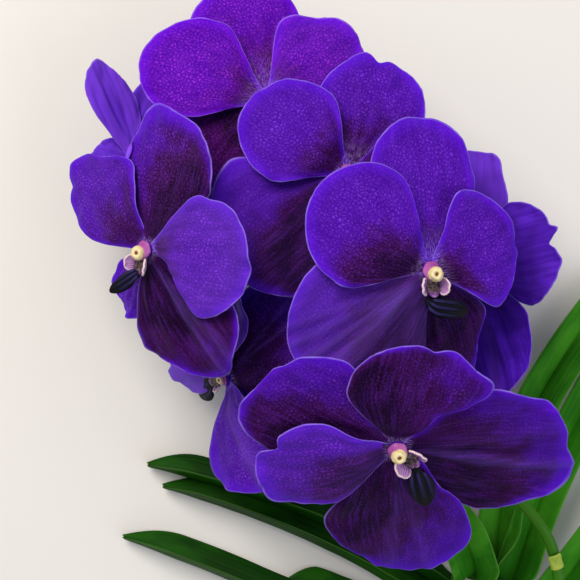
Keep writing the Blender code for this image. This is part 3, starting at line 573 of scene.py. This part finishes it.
def tepalFields(tepal, x, y, face, seed):
    p, q = discPoint(x, y)
    share, out = (1 + p) / 2, math.hypot(p, q)
    halfWidthMm, lengthMm = tepal["width"] * 500, tepal["length"] * 1000
    # near: dark pigment towards the bloom's middle, with painted shade there; lean: painted shade on one
    # side, or along the middle line when no side is given
    near = 1 - smooth((share - 0.06) / tepal["reach"])
    if tepal["side"]:
        lean = 1.6 * smooth(0.5 + 0.8 * tepal["side"] * q)
    else:
        lean = 1 - 0.30 * smooth(abs(q) * 1.2)
    # a hidden edge keeps the painted shade out to the rim and gets no rim highlight
    hidden = smooth(tepal["hiddenEdge"] * q * 3 - 0.6)
    margin = 1 - 0.70 * (1 - hidden) * smooth((out - tepal["margin"]) / (1.04 - tepal["margin"]))
    foot = 1 - smooth((share * tepal["length"] - 0.0024) / tepal["flecked"])
    foot *= 0.42 * (tepalDefaults["flecked"] / tepal["flecked"]) ** 0.25  # a long flecked foot is fainter
    # crests: a painted highlight along the crease crests
    crests = sum(light * math.exp(-((q - place * share) / wide) ** 2) * smooth(share * 3)
                 for place, _, wide, light in tepal["creases"])
    if tepal["fold"] and tepal["fold"][0] * q > tepal["fold"][1]:  # the folded margin shows its pale back
        crests = 0.9
    return {
        "flat": (q * halfWidthMm + seed * 37.0, share * lengthMm + seed * 11.0, 0.0),
        # rim: millimetres in from the edge, raised on crests and hidden edges so that no painted rim
        # highlight is drawn there
        "rim": (1 - out) * halfWidthMm + (3 if crests > 0.8 else 0) + 3 * hidden,
        # shade: dark pigment with painted shade
        "shade": min(1.0, tepal["dark"] * near * lean * margin * 1.35),
        "glow": min(1.0, tepal["glow"] * (0.45 + 0.55 * smooth(out * 1.4)) + crests),
        "spotty": tepal["spotty"] * (1 - 0.60 * smooth((out - 0.60) / 0.40)),
        "pale": foot if face > 0 else 0.0,
    }


def tepalDepth(x, y):  # thinner towards the rim
    return blend(tepalMesh["thick"], tepalMesh["rimThick"], smooth(math.hypot(*discPoint(x, y)) ** 6))


def makeTepals(name, bloom, number):
    axes = bloomFrame(bloom)
    materials = [tepalFace[bloom.get("tone", "violet")], tepalBack]
    pieces = []
    for index, (usual, changes) in enumerate(zip(usualTepals, bloom["tepals"])):
        tepal = {**tepalDefaults, **usual, **changes}
        seed = number * 5 + index
        pieces.append(blade(
            f"{name}Tepal{index}", tepalMesh["along"], tepalMesh["across"],
            lambda x, y: tepalPlace(axes, tepal, x, y, seed), tepalDepth,
            lambda x, y, face: tepalFields(tepal, x, y, face, seed), materials))
    pieces.append(makeReceptacle(name, axes))
    return joinInto(name + "Tepals", pieces)


receptacle = {
    "radius": 0.0036, "back": -0.0034, "front": 0.0011,
    "profile": ((0, 0.55), (0.1, 0.78), (0.35, 0.88), (0.7, 0.98), (0.92, 1.0), (1, 0.9)),
    "spur": 0.0065, "spurRadius": 0.0018, "spurDown": 0.0042, "spurBack": 0.0032, "spurLean": 0.72,
}


def makeReceptacle(name, axes):  # where the tepals grow together, with the short spur behind
    def plain(ring, spoke):
        return {"flat": (spoke * 8, ring * 6, 0.0), "rim": 5.0, "shade": 0.1, "glow": 0.0,
                "spotty": 0.0, "pale": 0.0}

    def body(place, a):
        share, wide = place
        forward = blend(receptacle["back"], receptacle["front"], share)
        return bloomPlace(axes, math.cos(a) * receptacle["radius"] * wide,
                          math.sin(a) * receptacle["radius"] * wide, forward)

    def spur(along, a):  # rounded at its tip
        wide = math.sqrt(max(0.0, 1 - (2 * max(0, 0.5 - along)) ** 6)) * blend(0.62, 1.0, along)
        down = (along - 0.5) * receptacle["spur"] * receptacle["spurLean"]
        return bloomPlace(axes, math.cos(a) * receptacle["spurRadius"] * wide,
                          math.sin(a) * receptacle["spurRadius"] * wide - receptacle["spurDown"] + down,
                          down - receptacle["spurBack"])

    return joinInto(name + "Receptacle", [
        skin(name + "Receptacle", ringsOf(receptacle["profile"], 24, body), plain, [tepalBack]),
        skin(name + "Spur", ringsOf(evenly(12), 16, spur), plain, [tepalBack])])


# Column, cap and the ears of the lip, from the bloom's right, up and forward directions
columnShape = {
    "floor": 0.0014, "lean": 16, "length": 0.0044, "footRadius": 0.0041, "drop": 0.0010,
    "profile": ((0.0, 0.80), (0.05, 0.97), (0.16, 1.0), (0.34, 0.94), (0.52, 0.88), (0.70, 0.82),
                (0.88, 0.74), (1, 0.5)),
    "capRadius": 0.0033, "capFlat": 0.85, "capTurns": 36, "capLevels": 24,
    "earLength": 0.0072, "earHeight": 0.0058, "earThick": 0.0008, "earLean": 36, "earOut": 0.0020,
    "earUp": -0.0064, "earBelly": 0.0013, "throatAcross": 0.0031, "throatAlong": 0.0046,
}


def makeColumn(name, bloom):
    axes = bloomFrame(bloom)
    shape = {**columnShape, **bloom.get("column", {})}
    lean = math.tan(math.radians(shape["lean"]))

    def body(place, a):  # six faint ridges, and flatter below at its foot
        along, wide = place
        forward = along * shape["length"]
        down = shape["drop"] * smooth(along * 3) + forward * lean
        ridges = 1 + 0.03 * math.cos(6 * a) * (1 - along)
        r = shape["footRadius"] * wide * ridges * (1 - 0.22 * max(0, -math.sin(a)) * (1 - along))
        return bloomPlace(axes, math.cos(a) * r * 0.96, math.sin(a) * r - down, forward + shape["floor"])

    def toneOf(ring, spoke):  # magenta along the back, paler down both flanks and at the foot
        flank = smooth(abs((spoke - 0.25 + 0.5) % 1 - 0.5) / 0.30)
        foot = smooth((0.12 - ring) / 0.12)
        tone = 0.05 + 0.26 * flank + 0.40 * foot + 0.25 * smooth((ring - 0.80) / 0.2)
        return {"tone": min(0.55, tone)}

    return joinInto(name + "Column", [
        skin(name + "ColumnBody", ringsOf(shape["profile"], 36, body), toneOf, [columnSkin]),
        makeCap(name, axes, shape, lean), makeEar(name, axes, shape, -1), makeEar(name, axes, shape, 1),
        makeThroat(name, axes, shape)])


def makeCap(name, axes, shape, lean):  # rounded anther cap with the brown opening near its tip
    out = shape["length"] + shape["floor"]
    opening = Vector((axes[1].z, axes[2].z, axes[3].z + 1.0)).normalized()
    if axes[3].z < 0:  # a bloom seen from behind
        opening = Vector((0.0, -0.16, 0.98))
    points, values, faces = [], [], []
    turns, levels = shape["capTurns"], shape["capLevels"]
    for level in range(levels + 1):
        polar = math.pi * level / levels
        for k in range(turns if 0 < level < levels else 1):
            a = 2 * math.pi * k / turns
            d = Vector((math.sin(polar) * math.cos(a), math.sin(polar) * math.sin(a), math.cos(polar)))
            away = (d - opening).length
            pit, lid = math.exp(-(away / 0.40) ** 4), math.exp(-((away - 0.62) / 0.16) ** 2)
            lumps = noise.noise(d * 2.4 + axes[0] * 90)
            r = shape["capRadius"] * (0.93 - 0.34 * pit + 0.06 * lid + 0.10 * lumps)
            points.append(bloomPlace(axes, d.x * r, d.y * r - shape["drop"] - shape["length"] * lean,
                                     out + d.z * r * shape["capFlat"]))
            tone = 0.82 - 0.18 * lid - 0.10 * smooth(lumps) + 0.16 * smooth((pit - 0.25) / 0.6)
            values.append({"tone": min(1.0, tone)})

    def numberOf(level, k):  # one point at each pole, and a ring of them on every level between
        return 0 if level == 0 else 1 + (level - 1) * turns + (k % turns if level < levels else 0)

    for level in range(levels):
        for k in range(turns):
            corners = ((level, k), (level + 1, k), (level + 1, k + 1), (level, k + 1))
            faces.append(list(dict.fromkeys(numberOf(*corner) for corner in corners)))
    return outwardFaces(meshObject(name + "Cap", points, faces, values, [columnSkin]))


def makeEar(name, axes, shape, side):
    # One of the two rounded ears beside the lip's base: a shallow cup, pale outside and at its
    # rim, purple with darker stripes inside.
    spread = math.radians(shape["earLean"])

    def place(x, y):
        p, q = discPoint(x, y)
        along = q * shape["earLength"] / 2 * (0.60 + 0.40 * smooth((p + 1) / 0.9))
        high = (p + 1) / 2 * shape["earHeight"]
        belly = shape["earBelly"] * (1 - q * q) * math.sin(math.pi * min(1, (p + 1) / 2) * 0.9)
        out = shape["earOut"] + high * math.sin(spread) + belly * math.cos(spread)
        out += 0.0002 * math.sin(q * 8) * smooth(p)
        return bloomPlace(axes, side * out, shape["earUp"] + along,
                          shape["floor"] + 0.0002 + high * math.cos(spread))

    def fields(x, y, face):
        p, q = discPoint(x, y)
        out = math.hypot(p, q)
        tone = 0.20 + 0.20 * smooth(0.2 - p)
        if face * side > 0:  # the hollow side
            stripe = (0.5 + 0.5 * math.sin(q * 26 + 2 * p)) ** 2
            tone = 0.36 + 0.22 * stripe * smooth(1.1 - p) + 0.30 * smooth(-p)
        return {"tone": blend(tone, 0.04, smooth((out - 0.86) / 0.08) * smooth(p + 1.0))}

    return blade(f"{name}Ear{side + 1}", 24, 24, place, lambda x, y: shape["earThick"], fields, [lobeSkin])


def makeThroat(name, axes, shape):  # the hollow between the ears: dark maroon, deepened to near black below the cap as painted shade, lilac in front
    def place(along, a):
        polar = math.pi * (0.04 + 0.92 * along)
        front = max(0, -math.sin(a)) * math.sin(polar)
        return bloomPlace(axes, math.cos(a) * shape["throatAcross"] * math.sin(polar),
                          math.sin(a) * shape["throatAlong"] * math.sin(polar) + shape["earUp"] + 0.0002,
                          shape["floor"] + 0.0010 + 0.0010 * math.cos(polar) + 0.0016 * front)

    def toneOf(ring, spoke):
        front = smooth(1 - abs(spoke - 0.75) / 0.22) * smooth(math.sin(math.pi * ring) * 1.6 - 0.5)
        return {"tone": 1.0 - 0.56 * front}

    return skin(name + "Throat", ringsOf(evenly(10), 32, place), toneOf, [lobeSkin])


lipShape = {
    "root": 0.0092, "length": 0.0165, "width": 0.0090, "thick": 0.0012, "pitch": 22, "curl": -40,
    "rise": 0.0030, "turn": 0, "start": 0, "swing": 0, "steps": 40, "ridges": 3, "ridgeHeight": 0.0005,
    "sag": 0.30, "ripple": 0.0003,
}


def makeLip(name, bloom):
    axes = bloomFrame(bloom)
    at, rightward, upward, facing = axes
    shape = {**lipShape, **bloom.get("lip", {})}
    heading = math.radians(180 + shape["turn"])
    steps, middles, height = shape["steps"], [], 0.0
    start = math.radians(180 + shape["start"])
    spot = Vector((math.cos(start), math.sin(start))) * shape["root"]
    for step in range(steps + 1):  # the lip's middle line: up, left, forward and its directions
        share = step / steps
        course = heading + math.radians(shape["swing"]) * smooth(share / 0.4)
        pitch = math.radians(shape["pitch"] + shape["curl"] * share)
        middles.append((spot.copy(), height, course, pitch))
        stride = shape["length"] / steps
        spot += Vector((math.cos(course), math.sin(course))) * stride * math.cos(pitch)
        height += stride * math.sin(pitch)

    def ridge(q, share):
        lines = (0.5 + 0.5 * math.cos(q * math.pi * shape["ridges"])) ** 3
        return lines * smooth(share * 5) * smooth((1.0 - share) * 2.5)

    def place(x, y):
        p, q = discPoint(x, y)
        share = min(1.0, max(0.0, (1 + p) / 2))
        low = min(int(share * steps), steps - 1)
        part = share * steps - low
        spot = middles[low][0].lerp(middles[low + 1][0], part)
        height = blend(middles[low][1], middles[low + 1][1], part)
        course, pitch = (blend(middles[low][k], middles[low + 1][k], part) for k in (2, 3))
        outwards = upward * math.cos(course) - rightward * math.sin(course)
        sideways = facing.cross(outwards)
        broad = 0.62 + 0.38 * smooth(share / 0.40) - 0.10 * smooth((share - 0.6) / 0.4)
        side = q * broad * shape["width"] / 2
        rise = -shape["sag"] * 2 * side * side / shape["width"]
        rise += shape["ripple"] * math.sin(q * 8 + share * 5) * q * q + shape["ridgeHeight"] * ridge(q, share)
        middle = at + upward * spot.x - rightward * spot.y + facing * (shape["rise"] + height)
        return middle + sideways * side + (facing * math.cos(pitch) - outwards * math.sin(pitch)) * rise

    def fields(x, y, face):
        p, q = discPoint(x, y)
        share, out = (1 + p) / 2, math.hypot(p, q)
        tone = 0.12 + 0.85 * ridge(q, share) * (1 - 0.45 * share) if face > 0 else 0.30
        return {"tone": max(tone, 0.62 * smooth((out - 0.92) / 0.07) * smooth(share * 2.5))}

    return blade(name + "Lip", 34, 34, place, lambda x, y: shape["thick"], fields, [lipSkin])


# Ribbed stalks, made along a path with Geometry Nodes

def ribbedStalkTree():
    tree = bpy.data.node_groups.new("ribbedStalk", "GeometryNodeTree")
    tree.interface.new_socket("Path", in_out="INPUT", socket_type="NodeSocketGeometry")
    for label, kind, value in (("Ribs", "NodeSocketInt", 6), ("Rib Depth", "NodeSocketFloat", 0.1),
                               ("Turns", "NodeSocketFloat", 0.0), ("Sides", "NodeSocketInt", 24)):
        tree.interface.new_socket(label, in_out="INPUT", socket_type=kind).default_value = value
    tree.interface.new_socket("Skin", in_out="INPUT", socket_type="NodeSocketMaterial")
    tree.interface.new_socket("Stalk", in_out="OUTPUT", socket_type="NodeSocketGeometry")
    given = addNode(tree, "NodeGroupInput").outputs
    path = addNode(tree, "GeometryNodeMeshToCurve", {}, {"Mesh": given["Path"]}).outputs[0]
    radius = addNode(tree, "GeometryNodeInputNamedAttribute", {"data_type": "FLOAT"}, {"Name": "radius_m"})
    along = addNode(tree, "GeometryNodeSplineParameter").outputs["Factor"]
    turn = figure(tree, "MULTIPLY", figure(tree, "MULTIPLY", along, given["Turns"]), 2 * math.pi)
    path = addNode(tree, "GeometryNodeSetCurveTilt", {}, {"Curve": path, "Tilt": turn}).outputs[0]
    profile = addNode(tree, "GeometryNodeCurvePrimitiveCircle", {}, {
        "Resolution": given["Sides"], "Radius": 1.0}).outputs[0]
    around = addNode(tree, "GeometryNodeSplineParameter").outputs["Factor"]
    wave = figure(tree, "MULTIPLY", figure(tree, "MULTIPLY", around, given["Ribs"]), 2 * math.pi)
    size = figure(tree, "MULTIPLY_ADD", figure(tree, "COSINE", wave), given["Rib Depth"], 0.96)
    spot = addNode(tree, "GeometryNodeInputPosition").outputs[0]
    spot = addNode(tree, "ShaderNodeVectorMath", {"operation": "SCALE"}, {0: spot, "Scale": size}).outputs[0]
    profile = addNode(tree, "GeometryNodeSetPosition", {}, {"Geometry": profile, "Position": spot}).outputs[0]
    swept = addNode(tree, "GeometryNodeCurveToMesh", {}, {
        "Curve": path, "Profile Curve": profile, "Scale": radius.outputs[0], "Fill Caps": True}).outputs[0]
    for kind, settings in (("GeometryNodeSetShadeSmooth", {"Shade Smooth": True}),
                           ("GeometryNodeRealizeInstances", {}),
                           ("GeometryNodeSetMaterial", {"Material": given["Skin"]})):
        swept = addNode(tree, kind, {}, {"Geometry": swept, **settings}).outputs[0]
    addNode(tree, "NodeGroupOutput", {}, {"Stalk": swept})
    return tree


def nodesToMesh(name, host, tree, values):  # runs a tree on a host object and keeps the plain mesh
    modifier = host.modifiers.new(tree.name, "NODES")
    modifier.node_group = tree
    for item in tree.interface.items_tree:
        if item.in_out == "INPUT" and item.name in values:
            modifier[item.identifier] = values[item.name]
    bpy.context.view_layer.update()
    graph = bpy.context.evaluated_depsgraph_get()
    mesh = bpy.data.meshes.new_from_object(host.evaluated_get(graph))
    host.modifiers.remove(modifier)
    bpy.data.objects.remove(host)
    made = bpy.data.objects.new(name, mesh)
    mesh.name = name
    bpy.context.scene.collection.objects.link(made)
    return made


stalkTree = ribbedStalkTree()


def ribbedStalk(name, points, radii, tones, settings, material):
    host = bpy.data.meshes.new(name + "Path")
    edges = [(k, k + 1) for k in range(len(points) - 1)]
    host.from_pydata([tuple(p - shootMiddle) for p in points], edges, [])
    for key, numbers in (("radius_m", radii), ("tone", tones)):
        host.attributes.new(key, "FLOAT", "POINT").data.foreach_set("value", numbers)
    carrier = bpy.data.objects.new(name + "Path", host)
    bpy.context.scene.collection.objects.link(carrier)
    return nodesToMesh(name, carrier, stalkTree, {**settings, "Skin": material})


stalkShape = {
    "radius": 0.0030, "tipRadius": 0.0018, "steps": 14,
    "ribs": {"Ribs": 9, "Rib Depth": 0.03, "Turns": 0.4, "Sides": 36},
    "route": [(0.0985, -0.1960, 0.0177), (0.108, -0.180, 0.0275), (0.117, -0.150, 0.036),
              (0.117, -0.120, 0.040), (0.103, -0.095, 0.046), (0.0607, -0.0563, 0.050),
              (0.0216, -0.0173, 0.051), (0.000, 0.0173, 0.050), (-0.0087, 0.052, 0.047),
              (-0.0109, 0.0740, 0.040)],
}
stalkCoarse = smoothRoute([Vector(p) for p in stalkShape["route"]], 2)  # the nodes are shares of this one
stalkFine = smoothRoute([Vector(p) for p in stalkShape["route"]], stalkShape["steps"])


def stalkPlace(share):  # a point of the stalk and the direction that it grows in there
    at = share * (len(stalkCoarse) - 1)
    low = min(int(at), len(stalkCoarse) - 2)
    a, b = stalkCoarse[low:low + 2]
    return a.lerp(b, at - low), (b - a).normalized()


def stalkRadius(share):
    return blend(stalkShape["radius"], stalkShape["tipRadius"], share)


pedicelShape = {
    "radius": 0.0014, "ovary": 0.0020, "stub": 0.0020, "gap": 0.0003, "sweep": 0.9, "steps": 30,
    "ribs": {"Ribs": 6, "Rib Depth": 0.09, "Turns": 0.8, "Sides": 30},
}


def makePedicel(name, bloom):
    axes = bloomFrame(bloom)
    start, along = stalkPlace(bloom["node"])
    gap = pedicelShape["gap"]
    back = bloomPlace(axes, 0, 0, receptacle["back"] - gap)
    outwards = back - start
    outwards = (outwards - along * outwards.dot(along)).normalized()
    foot = start + outwards * (stalkRadius(bloom["node"]) + 2 * gap)
    begin, end = foot + outwards * pedicelShape["stub"], back - axes[3] * pedicelShape["stub"]
    reach = (end - begin).length * pedicelShape["sweep"]
    leave, arrive = outwards * reach, axes[3] * reach
    points = [foot]
    for t in evenly(pedicelShape["steps"]):
        points.append(begin * (2 * t ** 3 - 3 * t ** 2 + 1) + leave * (t ** 3 - 2 * t ** 2 + t)
                      + end * (3 * t ** 2 - 2 * t ** 3) + arrive * (t ** 3 - t ** 2))
    points.append(back)
    shares = evenly(len(points) - 1)
    radii = [blend(pedicelShape["radius"], pedicelShape["ovary"], smooth(s)) for s in shares]
    return ribbedStalk(name + "Pedicel", points, radii, shares, pedicelShape["ribs"], pedicelSkin)


bractShape = {"length": 0.007425, "below": 0.020, "bare": 0.36, "thick": 0.0007, "tipThick": 0.0003}


def makeBract(number, share):
    # A small clasping scale below a pedicel. The last one, on the upper side of the bare node, is a
    # pale sheath with a blunt end.
    middle, along = stalkPlace(share - bractShape["below"])
    radius = stalkRadius(share)
    side = along.cross(Vector((0, 0, 1))).normalized() * (-1 if number % 2 else 1)
    third = along.cross(side)
    bare = number == len(bloomTable)
    if bare:
        side, third = third * -1, side

    def place(x, y):
        share = (x + 1) / 2
        wide = math.radians(blend(82, 40 if bare else 4, share ** 1.6)) * y
        lift = radius * (1.05 + 0.10 * share) + 0.0010 * smooth((share - 0.4) / 0.6)
        return (middle + along * (share - 0.5) * bractShape["length"]
                + side * math.cos(wide) * lift + third * math.sin(wide) * lift)

    def depth(x, y):
        return blend(bractShape["thick"], bractShape["tipThick"], (x + 1) / 2)

    def fields(x, y, face):
        return {"tone": 1.0 if bare else 0.35 + 0.6 * smooth((x + 0.2) / 1.2)}

    return blade(f"bract{number}", 14, 14, place, depth, fields, [stalkSkin])


def makeStalk():
    shares = evenly(len(stalkFine) - 1)
    radii = [stalkRadius(share) for share in shares]
    line = ribbedStalk("stalkLine", stalkFine, radii, shares, stalkShape["ribs"], stalkSkin)
    places = [bloom["node"] for bloom in bloomTable.values()] + [bractShape["bare"]]
    return joinInto("flowerStalk", [line] + [makeBract(k, s) for k, s in enumerate(places)])


# Leafy stem and its strap leaves; side is 1 for the left ones and -1 for the right ones
stemShape = {
    "foot": Vector((0.1010, -0.2260, 0.0070)), "top": Vector((0.0879, -0.1360, 0.0074)), "pairs": 5,
    "wide": 0.0050, "deep": 0.0066, "first": 0.014, "step": 0.0088, "reach": 0.0085,
    "sheathLength": 0.0170, "sheathWide": 0.0042, "sheathDeep": 0.0082, "sheathInside": 0.001,
    "grooves": 12, "grooveDepth": 0.05, "leafGap": 0.0014,
}
leafShape = {
    "along": 70, "across": 16, "thick": 0.0013, "rimThick": 0.0006, "halfWidth": 0.0125, "lengthMm": 170,
    "arch": 0.010, "footRoll": 8, "keel": 0.012, "bulge": 0.0006, "unevenness": 0.0003, "fork": 0.0014,
}
# high: of the tip above the surface, roll: how far the open side turns up and by where, fold: half
# the angle between the two halves, taper: where it starts to narrow, neck: its width at the sheath
usualLeaf = {
    1: dict(high=0.0038, roll=22, turned=0.35, fold=44, taper=0.87, neck=0.62, broad=1),
    -1: dict(high=0.0030, roll=80, turned=0.18, fold=50, taper=0.87, neck=0.85, broad=1),
}
leafTable = {
    "left": [
        dict(middle=(0.020, -0.1000), tip=(-0.0655, -0.0820)),
        dict(middle=(0.028, -0.1140), tip=(-0.0585, -0.0920)),
        dict(middle=(0.040, -0.1465), tip=(0.0000, -0.1355), high=0.0042),
        dict(middle=(0.020, -0.1470), tip=(-0.0770, -0.1155)),
        dict(middle=(0.030, -0.1900), tip=(-0.035, -0.1800))],
    "right": [
        dict(middle=(0.087, -0.0660), tip=(0.1600, 0.0110), roll=84, fold=52),
        dict(middle=(0.112, -0.0820), tip=(0.1660, -0.0080)),
        dict(middle=(0.138, -0.1160), tip=(0.1920, -0.0520), roll=76),
        dict(middle=(0.152, -0.1580), tip=(0.2220, -0.1300), roll=70),
        dict(middle=(0.157, -0.1860), tip=(0.2120, -0.1820), roll=50, fold=44, high=0.0020)],
}
crownLeaf = dict(joint=(0.0862, -0.1330, 0.0125), middle=(0.0790, -0.1110), tip=(0.0695, -0.0900),
                 high=0.0300, roll=86, fold=52, taper=0.50, broad=1.05)
stemAlong = (stemShape["top"] - stemShape["foot"]).normalized()
stemAcross = Vector((0, 0, 1)).cross(stemAlong).normalized()
stemAbove = stemAlong.cross(stemAcross) * -1


def leafJoint(rank, side):
    number = 2 * (stemShape["pairs"] - 1 - rank) + (0 if side > 0 else 1)
    out = Vector((0, 0, 1)).cross(stemAlong) * side
    at = stemShape["foot"] + stemAlong * (stemShape["first"] + stemShape["step"] * number)
    return at + out * stemShape["reach"], out


def leafDepth(x, y):  # thinner towards the edges and the ends
    return blend(leafShape["thick"], leafShape["rimThick"], smooth(max(abs(y), abs(x)) ** 4))


def makeLeaf(name, changes, rank, side, seed):
    leaf = {**usualLeaf[side], **changes}
    joint, out = leafJoint(rank, side)
    joint = joint + out * stemShape["leafGap"] + stemAlong * (stemShape["leafGap"] * 0.4)
    joint = Vector(leaf.get("joint", joint))
    tip = Vector((*leaf["tip"], leaf["high"]))
    middle = Vector((*leaf["middle"], (joint.z + leaf["high"]) / 2 + leafShape["arch"]))

    def place(x, y):
        share = (x + 1) / 2
        rib = joint * (1 - share) ** 2 + middle * 2 * share * (1 - share) + tip * share * share
        along = ((middle - joint) * 2 * (1 - share) + (tip - middle) * 2 * share).normalized()
        inward = Vector((0, 0, 1)).cross(along).normalized() * -side
        upward = along.cross(inward) * side * -1
        if upward.z < 0:
            upward = -upward
        roll = math.radians(blend(leafShape["footRoll"], leaf["roll"], smooth(share / leaf["turned"])))
        opening = inward * math.cos(roll) + upward * math.sin(roll)
        beside = upward * math.cos(roll) - inward * math.sin(roll)
        fold = math.radians(leaf["fold"] + 6 * share)

        broad = leafShape["halfWidth"] * leaf["neck"] ** (1 - smooth(share / 0.20)) * (1 - 0.10 * share)
        narrowing = max(0.0, share - leaf["taper"]) / (1 - leaf["taper"])
        broad *= leaf["broad"] * (0.14 + 0.86 * (1 - narrowing ** 2))
        keel = leafShape["keel"]  # rounds the fold along the midrib
        reach = (math.sqrt(y * y + keel) - math.sqrt(keel)) / (math.sqrt(1 + keel) - math.sqrt(keel)) * broad
        curve = leafShape["bulge"] * math.sin(math.pi * abs(y))
        curve += leafShape["unevenness"] * noise.noise(Vector((x * 6, y * 1.5, seed)))
        fork = leafShape["fork"] * share ** 12 * (0.35 if y > 0 else 1.0) * abs(y)  # the notched tip
        fork += 0.0005 * share ** 20 * noise.noise(Vector((y * 5, seed, 0)))
        return (rib + opening * (math.cos(fold) * reach + curve) + along * fork
                + beside * math.copysign(math.sin(fold) * reach, y))

    def fields(x, y, face):
        share = (x + 1) / 2
        halfWidthMm, lengthMm = leafShape["halfWidth"] * 1000, leafShape["lengthMm"]
        return {"flat": (y * halfWidthMm + seed * 40, share * lengthMm + seed * 17, 0.0),
                "rim": min((1 - abs(y)) * halfWidthMm, (1 - share) * lengthMm),
                # shade: painted shade over the whole leaf, deepest near its foot
                "keel": math.exp(-(y / 0.07) ** 2), "shade": 0.3 + 0.5 * smooth((0.25 - share) / 0.25)}

    return blade(name, leafShape["along"], leafShape["across"], place, leafDepth, fields, leafSkins[side])


def makeStem():
    length = (stemShape["top"] - stemShape["foot"]).length

    def core(share, a):
        wide = blend(1, 0.8, share) * (0.94 if share in (0, 1) else 1)
        return (stemShape["foot"] + stemAlong * length * share
                + stemAcross * math.cos(a) * stemShape["wide"] * wide
                + stemAbove * math.sin(a) * stemShape["deep"] * wide)

    pieces = [skin("stemCore", ringsOf(evenly(14), 32, core),
                   lambda ring, spoke: {"tone": blend(0.95, 0.3, smooth(ring * 4))}, [sheathSkin])]
    for side in (1, -1):
        for rank in range(stemShape["pairs"]):
            joint, out = leafJoint(rank, side)
            start = joint - stemAlong * stemShape["sheathLength"]
            start -= out * (stemShape["reach"] + stemShape["sheathInside"])

            def sheath(share, a):
                wide = blend(1, 0.86, share) * (0.9 if share in (0, 1) else 1)
                wide *= 1 - stemShape["grooveDepth"] * (0.5 + 0.5 * math.cos(a * stemShape["grooves"]))
                return (start.lerp(joint, share)
                        + (out * 0.8 - stemAlong * 0.35) * math.cos(a) * stemShape["sheathWide"] * wide
                        + stemAbove * math.sin(a) * stemShape["sheathDeep"] * wide)

            pieces.append(skin(f"sheath{side + 1}{rank}", ringsOf(evenly(14), 36, sheath),
                               lambda ring, spoke: {"tone": blend(0.75, 0.05, smooth(ring * 1.3))},
                               [sheathSkin]))
    for piece in pieces:  # the stem lies flat on the surface
        for vertex in piece.data.vertices:
            vertex.co.z = max(vertex.co.z, 0.0)
    return joinInto("leafyStem", pieces)


# Make the shoot
for number, (name, bloom) in enumerate(bloomTable.items()):
    for piece, node, slotName in (
            (makeTepals(name, bloom, number), "_perianth", "tepal"),
            (makeColumn(name, bloom), "_column", "column"),
            (makeLip(name, bloom), "_lip", "lip"),
            (makePedicel(name, bloom), "_pedicel", "pedicel")):
        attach(piece, "root")
        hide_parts(name + node)
print("blooms made")

flowerStalk = makeStalk()
leafyStem = makeStem()
for piece, node in ((flowerStalk, "peduncle"), (leafyStem, "leafy_stem")):
    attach(piece, "root")
    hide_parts(node)
for side, word in ((1, "left"), (-1, "right")):
    for rank, leaf in enumerate(leafTable[word]):
        seed = rank + (10 if side < 0 else 0)
        piece = makeLeaf(f"leaf{word.capitalize()}{rank + 1}", leaf, rank, side, seed)
        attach(piece, "root")
        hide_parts(f"leaf_{word}_{rank + 1}")
youngLeaf = makeLeaf("leafYoung", crownLeaf, 0, -1, 7)  # grows in the crown, between the topmost pair
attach(youngLeaf, "root")
print("stalk, stem and leaves made")


# Camera, floor and light
viewSettings = {"height": 0.700, "lens": 93.1, "near": 0.01, "far": 20}
camera = bpy.data.objects.new("camera", bpy.data.cameras.new("camera"))
camera.data.lens = viewSettings["lens"]
camera.data.clip_start, camera.data.clip_end = viewSettings["near"], viewSettings["far"]
camera.location = (-shootMiddle.x, -shootMiddle.y, viewSettings["height"])
bpy.context.scene.collection.objects.link(camera)
bpy.context.scene.camera = camera

floorSettings = {"half": 4, "roughness": 0.9, "colour": "#d9d7d3"}
floorMaterial, _, floorShader = newMaterial("matt pale board", floorSettings["roughness"])
floorShader.inputs["Base Color"].default_value = hexColour(floorSettings["colour"])
floorMesh = bpy.data.meshes.new("floor")
floorMesh.from_pydata([(x * floorSettings["half"], y * floorSettings["half"], 0)
                       for x, y in ((-1, -1), (1, -1), (1, 1), (-1, 1))], [], [(0, 1, 2, 3)])
floorMesh.materials.append(floorMaterial)
floor = bpy.data.objects.new("floor", floorMesh)
bpy.context.scene.collection.objects.link(floor)

lampSettings = {  # a large warm lamp up and to the left, a weaker cool one on the other side
    "key": dict(place=(-0.55, 0.75, 1.05), size=0.8, power=17, colour="#fff6ea"),
    "fill": dict(place=(0.9, -0.5, 0.9), size=1.2, power=6, colour="#eef2ff"),
}
lampTarget = Vector((-0.05, 0.03, 0.05))
for name, lamp in lampSettings.items():
    light = bpy.data.lights.new(name, "AREA")
    light.shape, light.size, light.energy = "DISK", lamp["size"], lamp["power"]
    light.color = hexColour(lamp["colour"])[:3]
    holder = bpy.data.objects.new(name, light)
    holder.location = lamp["place"]
    holder.rotation_euler = (lampTarget - Vector(lamp["place"])).to_track_quat("-Z", "Y").to_euler()
    bpy.context.scene.collection.objects.link(holder)
studioSettings = {"colour": "#f2f4f8", "strength": 0.55}
world = bpy.data.worlds.new("studio")
world.use_nodes = True
backdrop = world.node_tree.nodes["Background"]
backdrop.inputs["Color"].default_value = hexColour(studioSettings["colour"])
backdrop.inputs["Strength"].default_value = studioSettings["strength"]
bpy.context.scene.world = world
bpy.context.scene.view_settings.view_transform = "Standard"
print("camera, floor and light set")
